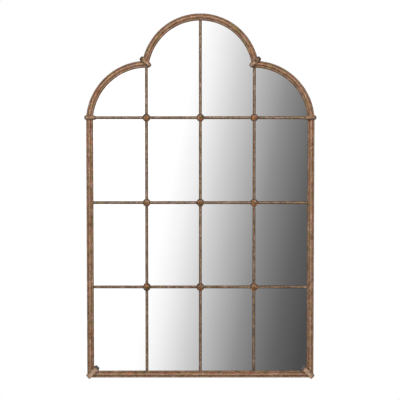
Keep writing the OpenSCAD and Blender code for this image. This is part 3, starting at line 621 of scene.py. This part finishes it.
class Skin:
    """The vertices and faces of a piece, with each vertex's marks and share of wear."""

    def __init__(self):
        self.vertices, self.faces, self.wear = [], [], []
        self.marks = {"crest": [], "nook": [], "along": []}

    def add(self, place, along, crest, nook, worn):
        self.vertices.append(place)
        self.wear.append(worn)
        self.marks["crest"].append(crest)
        self.marks["nook"].append(nook)
        self.marks["along"].append(along)

    def build(self, name, slot, replaced, sizes):
        """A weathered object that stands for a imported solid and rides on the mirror."""
        mesh = bpy.data.meshes.new(name)
        mesh.from_pydata(self.vertices, [], self.faces)
        shell = bmesh.new()
        shell.from_mesh(mesh)
        bmesh.ops.recalc_face_normals(shell, faces=shell.faces)
        shell.to_mesh(mesh)
        shell.free()
        for label, values in self.marks.items():
            if label == "along":
                layer = mesh.attributes.new(label, "FLOAT_VECTOR", "POINT")
                layer.data.foreach_set("vector", [v for value in values for v in value])
            else:
                layer = mesh.attributes.new(label, "FLOAT", "POINT")
                layer.data.foreach_set("value", values)
        piece = bpy.data.objects.new(name, mesh)
        bpy.context.scene.collection.objects.link(piece)
        piece.data.materials.append(finish(slot))
        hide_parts(replaced)
        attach(piece, BODY)
        weather(mesh, self.wear, sizes)


def weather(mesh, wear, sizes):
    """Dents, pits and chips that only take metal away, as deep as each vertex's wear."""
    normals = [Vector(n.vector) for n in mesh.vertex_normals]
    for vertex, normal, share in zip(mesh.vertices, normals, wear):
        if share <= 0.0:
            continue
        p = vertex.co
        slow = 0.5 + noise.noise(p * WAVES)
        fine = 0.5 + noise.noise(p * PITS)
        bite = max(0.0, noise.noise(p * CHIPS + CHIP_SHIFT) - CHIP_LEVEL)
        depth = sizes.dent * slow + sizes.pitting * fine + sizes.chip * bite
        vertex.co = p - normal * (share * max(0.0, depth))
    for polygon in mesh.polygons:
        polygon.use_smooth = True
    mesh.set_sharp_from_angle(angle=SHARP_ANGLE)


def swept(name, outline, stations, slot, replaced, sizes, blocks=()):
    """Runs an outline of (u, depth, crest, dirt and painted shade, wear) through the stations of
    a member.

    A station is its run length with a function of (u, depth) that gives (x, z, depth). Each
    of the blocks is a loose shell of corners and quads that belongs to the piece.
    """
    count = len(outline)
    skin = Skin()
    seed = ALONG_SHIFT * (sum(ord(c) for c in name) % ALONG_SHIFTS)
    for run, put in stations:
        for u, depth, crest, nook, worn in outline:
            x, z, d = put(u, depth)
            skin.add((x, BACK - d, z), (ALONG_SHRINK * run + seed, u, depth),
                     crest, nook, worn)
    for ring in range(len(stations) - 1):
        for k in range(count):
            a, b = ring * count + k, ring * count + (k + 1) % count
            skin.faces.append((a, b, b + count, a + count))
    flat = [Vector((u, depth, 0)) for u, depth, *_ in outline]
    caps = tessellate_polygon([flat])
    last = (len(stations) - 1) * count
    skin.faces += [tuple(t) for t in caps] + [tuple(last + k for k in t) for t in caps]
    for corners, quads in blocks:
        start = len(skin.vertices)
        for corner in corners:
            # The blocks take a little dirt and painted shade, as inside the channel.
            skin.add(corner, corner, 0.0, 0.3, 0.0)
        skin.faces += [tuple(start + k for k in quad) for quad in quads]
    skin.build(name, slot, replaced, sizes)


def arc(centre_u, centre_d, radius, start, end, steps):
    """Points (u, depth) along an arc, angles in degrees from the direction of u."""
    for k in range(steps + 1):
        a = math.radians(start + (end - start) * k / steps)
        yield centre_u + radius * math.cos(a), centre_d + radius * math.sin(a)


def frame_outline(s):
    """The channel's section: beads over the face plate, then both limbs behind it. The shares of
    dirt also paint shade: darkest down the sight edge and round the outer edge.
    """
    face = GLASS_FACE + s.plate
    crest_w = FACE_W - 2 * (s.margin + s.sight_bead + s.edge_bead + s.quirk)
    crest_r = crest_w / 2
    sight_u = s.margin + s.sight_bead
    crest_u = sight_u + s.sight_bead + s.quirk + crest_r
    edge_u = FACE_W - s.margin - s.edge_bead
    inner = FACE_W - s.limb
    web = s.rebate + s.limb
    out = []

    def mark(points, worn=1.0, nook=0.0, crest=None):
        for u, d in points:
            high = max(0.0, (d - face) / crest_r) if crest is None else crest
            out.append((u, d, high, nook, worn))

    def bead(u, depth, radius, sunk, shade_and_dirt_shares):
        """A bead of one point for each share of dirt and painted shade, sunk by an angle at both
        ends.
        """
        for point, nook in zip(arc(u, depth, radius, 180 - sunk, sunk, len(shade_and_dirt_shares) - 1), shade_and_dirt_shares):
            mark([point], nook=nook)

    sunk = math.degrees(math.asin(s.sight_sink / s.sight_bead))
    # Painted shade with dirt down the sight edge and over the sight bead's inner half.
    mark([(0.0, GLASS_FACE)], worn=0.0, nook=1.0)
    mark([(0.0, GLASS_FACE + 0.4 * s.plate)], worn=0.3, nook=1.0)
    mark([(0.0, face - s.arris), (s.arris, face)], nook=1.0)
    bead(sight_u, face - s.sight_sink, s.sight_bead, sunk,
         (0.8, 0.8, 0.8, 0.35, 0.35, 0.0, 0.0, 0.0, 0.0, 0.2))
    bead(crest_u, face, crest_r, 0, (0.2, *13 * (0.0,), 0.2))
    # Painted shade on the edge bead's outer half and the outer corner, where the face turns away
    # from the light.
    bead(edge_u, face, s.edge_bead, 0, (0.2, 0.0, 0.0, 0.0, 0.0, 0.3, 1.4, 1.4, 1.4, 1.4))
    mark([(FACE_W - s.arris, face), (FACE_W, face - s.arris)], nook=1.4, crest=0.2)
    for k in range(1, 6):
        mark([(FACE_W, (face - s.arris) * (1 - k / 6))], worn=0.7, crest=0.15, nook=0.3)
    mark([(FACE_W, s.arris), (FACE_W - s.arris, 0.0)], worn=0.5, crest=0.3)
    mark([(inner + s.arris, 0.0), (inner, s.arris)], worn=0.3, crest=0.2)
    mark([(inner, GLASS_FACE), (web, GLASS_FACE)], worn=0.0, nook=0.8)
    mark([(web, s.recess + s.arris)], worn=0.0, nook=0.3)
    mark([(web - s.arris, s.recess), (s.rebate + s.arris, s.recess)], worn=0.0, crest=0.2)
    mark([(s.rebate, s.recess + s.arris), (s.rebate, GLASS_FACE)], worn=0.0, nook=0.5)
    return out


def bar_outline(s):
    """The half-round section of a glazing bar, with dirt and painted shade up both sides."""
    out = [(-BAR_R + s.arris, BAR_BACK, 0.0, 0.8, 0.0)]
    for u, d in arc(0.0, BAR_BACK, BAR_R, 178, 2, 22):
        high = (d - BAR_BACK) / BAR_R
        # Painted shade with dirt: the sides darken away from the top, like the bar's contact
        # shadow.
        dirt = 1.3 if high < 0.8 else 0.5 if high < 0.92 else 0.0
        out.append((u, d, high ** 2, dirt, 1.0))
    out.append((BAR_R - s.arris, BAR_BACK, 0.0, 0.8, 0.0))
    return out


def circles_cross(c1, r1, c2, r2):
    """Where two circles cross, on the right of the way from the first to the second."""
    gap = Vector((c2[0] - c1[0], c2[1] - c1[1]))
    apart = gap.length
    along = (r1 * r1 - r2 * r2 + apart * apart) / (2 * apart)
    aside = math.sqrt(r1 * r1 - along * along)
    way = gap / apart
    return (c1[0] + along * way.x + aside * way.y, c1[1] + along * way.y - aside * way.x)


class Plan:
    """The frame's plan: where each member runs, for the right-hand side."""

    def __init__(self, s):
        self.sight_x = HALF_W - FACE_W
        self.crown_c = (0.0, CROWN_TOP - s.crown_r)
        self.crown_in = s.crown_r - FACE_W
        reach = math.sqrt(s.shoulder_r ** 2 - s.shoulder_drop ** 2)
        self.shoulder_c = (HALF_W - reach, SPRING - s.shoulder_drop)
        self.shoulder_in = s.shoulder_r - FACE_W
        self.drop = s.shoulder_drop

    def valley(self, u):
        """Where shoulder and crown meet at the distance u from their sight edges."""
        return circles_cross(self.shoulder_c, self.shoulder_in + u,
                             self.crown_c, self.crown_in + u)

    def sight_top(self, x):
        """Height of the sight edge over x."""
        x = abs(x)
        if x < self.valley(0.0)[0]:
            return self.crown_c[1] + math.sqrt(self.crown_in ** 2 - x * x)
        return self.shoulder_c[1] + math.sqrt(
            self.shoulder_in ** 2 - (x - self.shoulder_c[0]) ** 2)

    def sight_side(self, z):
        """Distance of the sight edge from the middle at the height z."""
        if z < SPRING:
            return self.sight_x
        return self.shoulder_c[0] + math.sqrt(
            self.shoulder_in ** 2 - (z - self.shoulder_c[1]) ** 2)

    def stile(self, side):
        foot = BOTTOM + FACE_W + JOINT_GAP
        top = SPRING - JOINT_GAP / 2

        def at(t):
            return lambda u, d: (side * (self.sight_x + u),
                                 (foot - u) * (1 - t) + top * t, d)
        return at, top - foot

    def rail(self):
        def at(t):
            return lambda u, d: ((2 * t - 1) * (self.sight_x + u - JOINT_GAP),
                                 BOTTOM + FACE_W - u, d)
        return at, 2 * self.sight_x

    def arch(self, side, centre, inner, start, end):
        """A member round a centre. start and end give its end angles at the distance u."""
        def at(t):
            def put(u, d):
                radius = inner + u
                a = start(u) * (1 - t) + end(u) * t
                return (side * (centre[0] + radius * math.cos(a)),
                        centre[1] + radius * math.sin(a), d)
            return put
        return at, (end(0.0) - start(0.0)) * inner

    def shoulder(self, side):
        def start(u):
            return math.asin((self.drop + JOINT_GAP / 2) / (self.shoulder_in + u))

        def end(u):
            x, z = self.valley(u)
            return math.atan2(z - self.shoulder_c[1], x - self.shoulder_c[0]) - VALLEY_GAP
        return self.arch(side, self.shoulder_c, self.shoulder_in, start, end)

    def crown(self):
        def start(u):
            x, z = self.valley(u)
            return math.atan2(z - self.crown_c[1], x) + VALLEY_GAP

        return self.arch(1, self.crown_c, self.crown_in, start,
                         lambda u: math.pi - start(u))


def even_stations(member, step):
    """Stations all along a member, at most a step apart."""
    at, run = member
    count = max(2, math.ceil(run / step))
    return [(run * k / count, at(k / count)) for k in range(count + 1)]


def block(s, x, z, turn, long, depth):
    """A block inside the channel at (x, z), with its outward heading, as a loose shell."""
    outward = Vector((math.cos(turn), 0, math.sin(turn)))
    along = Vector((-math.sin(turn), 0, math.cos(turn)))
    half_u = (FACE_W - 2 * s.limb - s.rebate) / 2 + WELD
    corners, quads = [], []
    for d, inset in ((depth, BLOCK_BEVEL), (depth + BLOCK_BEVEL, 0.0),
                     (GLASS_FACE + WELD, 0.0)):
        for a, b in ((-1, -1), (1, -1), (1, 1), (-1, 1)):
            spot = (Vector((x, BACK - d, z)) + outward * a * half_u
                    + along * b * (long / 2 - inset))
            corners.append(tuple(spot))
    for level in (0, 4):
        for k in range(4):
            a, b = level + k, level + (k + 1) % 4
            quads.append((a, b, b + 4, a + 4))
    quads += [(3, 2, 1, 0), (8, 9, 10, 11)]
    return corners, quads


def bar_stations(start, end, crossings, step, put, raise_back):
    """Stations along a bar, cut to half its depth at each crossing."""
    lap = BAR_BACK + BAR_R / 2
    half = BAR_R + LAP_ROOM
    cuts = [(c - half, c + half) for c in crossings]
    edges = sorted([start, end] + [v for cut in cuts for v in cut])
    found = []
    for low, high in zip(edges, edges[1:]):
        middle = (low + high) / 2
        lapped = any(a < middle < b for a, b in cuts)
        count = max(2, math.ceil((high - low) / step))
        for k in range(count + 1):
            place = low + (high - low) * k / count

            def at(u, d, place=place, lapped=lapped):
                if lapped:
                    d = max(d, lap) if raise_back else min(d, lap)
                return (*put(place, u), d)
            found.append((place - start, at))
    return found


def boss_front(s, r):
    """Depth of a boss's front at the distance r from its middle, with its crest and its share of
    dirt and painted shade.
    """
    rim = BAR_BACK + BAR_R - s.boss_saddle + s.boss_rim_t
    top = rim + s.boss_dome_h
    bend = (s.boss_dome ** 2 + s.boss_dome_h ** 2) / (2 * s.boss_dome_h)
    bead_r, bead_at, bead_sink = 0.0014, s.boss_r - 0.0016, 0.0001
    groove_at, groove_r = s.boss_button + 0.0022, 0.0009
    if r < s.boss_button:
        lift = math.sqrt(s.boss_button ** 2 - r * r)
        if top - s.boss_button / 2 + lift > top - bend + math.sqrt(bend * bend - r * r):
            return top - s.boss_button / 2 + lift, 1.0, 0.0
    if r < s.boss_dome:
        d = top - bend + math.sqrt(bend * bend - r * r)
        # The groove, the foot of the dome, the rim's bead and the flat rim get painted shade
        # with dirt, where occlusion would darken them.
        if abs(r - groove_at) < groove_r:
            d -= math.sqrt(groove_r ** 2 - (r - groove_at) ** 2)
            return d, 0.2, 0.9
        edge = r / s.boss_dome
        return d, 1.0 - 0.6 * edge ** 3, max(0.0, 5 * edge - 4)
    if abs(r - bead_at) < bead_r:
        lift = math.sqrt(bead_r ** 2 - (r - bead_at) ** 2) - bead_sink
        return rim + max(0.0, lift), 0.3, 0.95
    return rim, 0.0, 1.0


def boss_back(s, dx, dz):
    """Depth of a boss's back, which lies over the two bars."""
    d = BAR_BACK + BAR_R - s.boss_saddle
    room = BAR_R + LAP_ROOM
    for off in (dx, dz):
        if abs(off) < room:
            d = max(d, BAR_BACK + math.sqrt(room * room - off * off))
    return d


def cast_boss(s, x, z):
    """A boss at (x, z): rings from the middle of its front out to its edge and over its back."""
    skin = Skin()

    def put(r, k, front=None):
        a = 2 * math.pi * k / BOSS_CORNERS
        dx, dz = r * math.cos(a), r * math.sin(a)
        depth, crest, nook = front or (boss_back(s, dx, dz), 0.0, 0.8)
        skin.add((x + dx, BACK - depth, z + dz), (x + dx, depth, z + dz), crest, nook,
                 1.0 if front else 0.0)

    for i in range(1, BOSS_RINGS + 1):
        r = s.boss_r * i / BOSS_RINGS
        front = boss_front(s, r)
        for k in range(BOSS_CORNERS):
            put(r, k, front)
    for share in BOSS_BACK:
        for k in range(BOSS_CORNERS):
            put(share * s.boss_r, k)
    base = (BOSS_RINGS + len(BOSS_BACK) - 1) * BOSS_CORNERS
    tip = base + BOSS_CORNERS
    pairs = [(k, (k + 1) % BOSS_CORNERS) for k in range(BOSS_CORNERS)]
    skin.faces = [(ring + a, ring + b, ring + BOSS_CORNERS + b, ring + BOSS_CORNERS + a)
                  for ring in range(0, base, BOSS_CORNERS) for a, b in pairs]
    put(0.0, 0, boss_front(s, 0.0))
    put(0.0, 0)
    for a, b in pairs:
        skin.faces += [(a, b, tip), (base + a, base + b, tip + 1)]
    return skin


# Operators

class MIRROR_OT_finishes(bpy.types.Operator):
    """Build every finish of the mirror"""
    bl_idname = "mirror.finishes"
    bl_label = "Finishes"

    def execute(self, context):
        build_materials(context.scene.mirror_colours, context.scene.mirror_sizes)
        return {"FINISHED"}


class MIRROR_OT_frame(bpy.types.Operator):
    """Build the six moulded channels of the frame, with the blocks inside them"""
    bl_idname = "mirror.frame_channels"
    bl_label = "Frame"

    def execute(self, context):
        s = context.scene.mirror_sizes
        plan = Plan(s)
        outline = frame_outline(s)
        mid = (s.rebate + FACE_W) / 2
        row = ROWS["middle"] - ROWS["lower"]
        clip, pad = (s.clip_block, s.recess), (s.pad_block, 0.0)

        def channel(name, node, member, blocks):
            swept("moulded_" + name, outline, even_stations(member, s.ring_step),
                  "aged_frame", node, s, blocks)

        def arch_block(centre, inner, degrees, kind, side=1):
            a, reach = math.radians(degrees), inner + mid
            return block(s, side * (centre[0] + reach * math.cos(a)),
                         centre[1] + reach * math.sin(a), a if side > 0 else math.pi - a, *kind)

        for name, side in SIDES:
            x, turn = side * (plan.sight_x + mid), 0.0 if side > 0 else math.pi
            blocks = [block(s, x, BOTTOM + FACE_W + (k + 0.5) * row, turn, *clip)
                      for k in range(3)]
            blocks.append(block(s, x, -s.hanger_drop, turn, s.hanger_block, 0.0))
            blocks.append(block(s, x, BOTTOM + s.pad_height, turn, *pad))
            channel("stile_" + name, "stile_" + name, plan.stile(side), blocks)
            channel("shoulder_" + name, "shoulder_arch_" + name, plan.shoulder(side),
                    [arch_block(plan.shoulder_c, plan.shoulder_in, SHOULDER_CLIP, clip, side)])
        channel("rail", "bottom_rail", plan.rail(),
                [block(s, k * COLUMNS["right"], BOTTOM + FACE_W - mid, -math.pi / 2, *clip)
                 for k in RAIL_CLIPS])
        channel("crown", "crown_arch", plan.crown(),
                [arch_block(plan.crown_c, plan.crown_in, degrees, kind)
                 for places, kind in ((CROWN_CLIPS, clip), (CROWN_PADS, pad))
                 for degrees in places])
        return {"FINISHED"}


class MIRROR_OT_bars(bpy.types.Operator):
    """Build the six half-round glazing bars, half-lapped where they cross"""
    bl_idname = "mirror.glazing_bars"
    bl_label = "Glazing bars"

    def execute(self, context):
        s = context.scene.mirror_sizes
        plan = Plan(s)
        outline = bar_outline(s)
        foot = BOTTOM + FACE_W + SEAT_GAP
        for name, x in COLUMNS.items():
            top = min(plan.sight_top(abs(x) + off) for off in (-BAR_R, BAR_R)) - SEAT_GAP
            spots = bar_stations(foot, top, list(ROWS.values()), s.ring_step,
                                 lambda z, u, x=x: (x + u, z), True)
            swept("glazing_bar_" + name, outline, spots, "aged_bar",
                  "vertical_bar_" + name, s)
        for name, z in ROWS.items():
            end = min(plan.sight_side(z + off) for off in (-BAR_R, BAR_R)) - SEAT_GAP
            spots = bar_stations(-end, end, list(COLUMNS.values()), s.ring_step,
                                 lambda x, u, z=z: (x, z + u), False)
            swept("glazing_bar_" + name, outline, spots, "aged_bar",
                  "horizontal_bar_" + name, s)
        return {"FINISHED"}


class MIRROR_OT_bosses(bpy.types.Operator):
    """Build the nine cast bosses over the crossings"""
    bl_idname = "mirror.bosses"
    bl_label = "Bosses"

    def execute(self, context):
        s = context.scene.mirror_sizes
        for row, z in ROWS.items():
            for column, x in COLUMNS.items():
                cast_boss(s, x, z).build(f"cast_boss_{row}_{column}", "aged_boss",
                                         f"boss_{row}_{column}", s)
        return {"FINISHED"}


class MIRROR_OT_clasps(bpy.types.Operator):
    """Give the six cast clasps soft corners, a cast skin and their worn finish with painted
    highlight and shade
    """
    bl_idname = "mirror.clasps"
    bl_label = "Clasps"

    def execute(self, context):
        lumps = bpy.data.textures.new("cast_lumps", "CLOUDS")
        lumps.noise_scale = 0.006
        for kind in CLASPS:
            for name, _ in SIDES:
                piece = dress(f"{kind}_clasp_{name}", "worn_clasp_" + kind)
                modify(piece, "Even skin", "REMESH", mode="VOXEL", voxel_size=0.0007,
                       use_smooth_shade=True)
                modify(piece, "Soft corners", "SMOOTH", factor=0.5, iterations=4)
                modify(piece, "Cast skin", "DISPLACE", texture=lumps, strength=0.0005,
                       texture_coords="GLOBAL", mid_level=0.9)
        return {"FINISHED"}


class MIRROR_OT_glass(bpy.types.Operator):
    """Finish the mirror glass, its setting blocks and the backing board"""
    bl_idname = "mirror.glass_and_board"
    bl_label = "Glass and board"

    def execute(self, context):
        dress("mirror_glass", "mirror_glass")
        dress("setting_blocks", "black_rubber")
        dress("backing_board", "hardboard")
        return {"FINISHED"}


class MIRROR_OT_hardware(bpy.types.Operator):
    """Finish the plates, clips, screws, hangers and pads at the back"""
    bl_idname = "mirror.back_hardware"
    bl_label = "Back hardware"

    def execute(self, context):
        parts = {"splice_screws": "zinc_screw", "boss_screws": "zinc_screw",
                 "clip_screws": "zinc_screw", "hanger_screws": "zinc_screw",
                 "retaining_clips": "zinc_clip"}
        for name, _ in SIDES:
            for kind in ("corner_key_", "spring_splice_", "valley_splice_"):
                parts[kind + name] = "joint_plate"
            parts["hanger_strap_" + name] = "zinc_hanger"
            parts["hanger_ring_" + name] = "zinc_ring"
            parts["wall_pad_lower_" + name] = "black_rubber"
            parts["wall_pad_upper_" + name] = "black_rubber"
        for node, slot in parts.items():
            piece = dress(node, slot)
            if slot != "zinc_ring":
                modify(piece, "Broken edges", "BEVEL", width=0.00025, segments=2,
                       limit_method="ANGLE", angle_limit=math.radians(40))
        return {"FINISHED"}


class MIRROR_OT_stage(bpy.types.Operator):
    """Set up the floor, the studio round the mirror, the lamps and the camera"""
    bl_idname = "mirror.stage"
    bl_label = "Stage"

    def execute(self, context):
        scene = context.scene
        stage = scene.mirror_stage
        scene.view_settings.view_transform = "Standard"
        self.build_world(scene, stage)
        self.build_floor(scene, stage)
        self.hang_lamp(scene, "key_lamp", Vector(KEY_LAMP_AT), stage.key_power)
        self.hang_lamp(scene, "side_lamp", Vector(SIDE_LAMP_AT), stage.side_power)
        data = bpy.data.cameras.new("camera")
        data.sensor_width = 36.0
        data.lens = stage.focal_px / FRAME_PX * data.sensor_width
        data.shift_x = (FRAME_PX / 2 - stage.centre_x) / FRAME_PX
        data.shift_y = (stage.centre_y - FRAME_PX / 2) / FRAME_PX
        data.clip_end = 60
        camera = bpy.data.objects.new("camera", data)
        scene.collection.objects.link(camera)
        camera.location = (0, GLASS_FRONT - stage.camera_away, stage.camera_height)
        camera.rotation_euler = (math.pi / 2 - stage.camera_tilt, 0, 0)
        scene.camera = camera
        return {"FINISHED"}

    @staticmethod
    def hang_lamp(scene, name, place, energy):
        """A round soft lamp that points at the middle of the mirror."""
        data = bpy.data.lights.new(name, "AREA")
        data.shape = "DISK"
        data.size = LAMP_SIZE
        data.energy = energy
        lamp = bpy.data.objects.new(name, data)
        scene.collection.objects.link(lamp)
        middle = Vector((0, 0, (CROWN_TOP + BOTTOM) / 2))
        lamp.location = place
        lamp.rotation_euler = (middle - place).to_track_quat("-Z", "Y").to_euler()

    @staticmethod
    def build_world(scene, stage):
        """White behind the mirror, even light, and a studio that darkens to the right."""
        scene.world = bpy.data.worlds.new("studio")
        w = fresh_wiring(scene.world)
        way = w.parts(w.add("ShaderNodeTexCoord").outputs["Generated"])
        lean = w.scaled(way["Z"], STUDIO_LEAN, way["X"])
        ramp = w.add("ShaderNodeValToRGB")
        w.feed(ramp.inputs["Fac"], w.put("ShaderNodeMapRange", lean, -1.0))
        points = ramp.color_ramp.elements
        while len(points) < len(STUDIO):
            points.new(0.5)
        for point, (spot, level) in zip(points, STUDIO):
            point.position = (spot + 1) / 2
            point.color = (level, level, level, 1)
        room = w.put("ShaderNodeBackground", ramp.outputs["Color"])
        even = w.put("ShaderNodeBackground", WHITE, w.scaled(
            way["Z"], OVERHEAD * stage.ambient, stage.ambient))
        white = w.put("ShaderNodeBackground", WHITE)
        glossy = w.add("ShaderNodeLightPath").outputs["Is Glossy Ray"]
        light = w.put("ShaderNodeMixShader", glossy, even, room)
        total = w.put("ShaderNodeMixShader", w.seen(), light, white)
        w.feed(w.add("ShaderNodeOutputWorld").inputs["Surface"], total)

    @staticmethod
    def build_floor(scene, stage):
        """A pale floor well below the hanging mirror, which fades into the white."""
        level, turn = BOTTOM - stage.floor_below, 2 * math.pi / FLOOR_CORNERS
        rim = [(stage.floor_r * math.cos(turn * k), stage.floor_r * math.sin(turn * k), level)
               for k in range(FLOOR_CORNERS)]
        mesh = bpy.data.meshes.new("floor")
        mesh.from_pydata(rim, [], [tuple(range(FLOOR_CORNERS))])
        floor = bpy.data.objects.new("floor", mesh)
        scene.collection.objects.link(floor)
        material = bpy.data.materials.new("pale_floor")
        w = fresh_wiring(material)
        place = w.add("ShaderNodeTexCoord").outputs["Object"]
        matt = w.put("ShaderNodeBsdfDiffuse", w.blend(w.noise(place, 3), *FLOOR_TONES))
        glow = w.put("ShaderNodeEmission", WHITE, w.times(w.seen(), FLOOR_GLOW))
        total = w.put("ShaderNodeAddShader", matt, glow)
        w.feed(w.add("ShaderNodeOutputMaterial").inputs["Surface"], total)
        mesh.materials.append(material)


class MIRROR_PT_panel(bpy.types.Panel):
    """The mirror's pieces, sizes and colours"""
    bl_idname = "MIRROR_PT_panel"
    bl_label = "Arched Mirror"
    bl_space_type = "VIEW_3D"
    bl_region_type = "UI"
    bl_category = "Mirror"

    def draw(self, context):
        column = self.layout.column()
        for operator in OPERATORS:
            column.operator(operator.bl_idname)
        for name in GROUPS:
            group = getattr(context.scene, name)
            box = column.box()
            for key in group.bl_rna.properties.keys():
                if key not in ("name", "rna_type"):
                    box.prop(group, key)


GROUPS = {"mirror_sizes": MirrorSizes, "mirror_colours": MirrorColours,
          "mirror_stage": MirrorStage}
OPERATORS = (MIRROR_OT_finishes, MIRROR_OT_stage, MIRROR_OT_frame, MIRROR_OT_bars,
             MIRROR_OT_bosses, MIRROR_OT_clasps, MIRROR_OT_glass, MIRROR_OT_hardware)
CLASSES = (*GROUPS.values(), *OPERATORS, MIRROR_PT_panel)


def register():
    for cls in CLASSES:
        bpy.utils.register_class(cls)
    for name, group in GROUPS.items():
        setattr(bpy.types.Scene, name, PointerProperty(type=group))


def unregister():
    for name in GROUPS:
        delattr(bpy.types.Scene, name)
    for cls in reversed(CLASSES):
        bpy.utils.unregister_class(cls)


def main():
    register()
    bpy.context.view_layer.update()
    for operator in OPERATORS:
        family, name = operator.bl_idname.split(".")
        getattr(getattr(bpy.ops, family), name)()


if __name__ == "__main__":
    main()
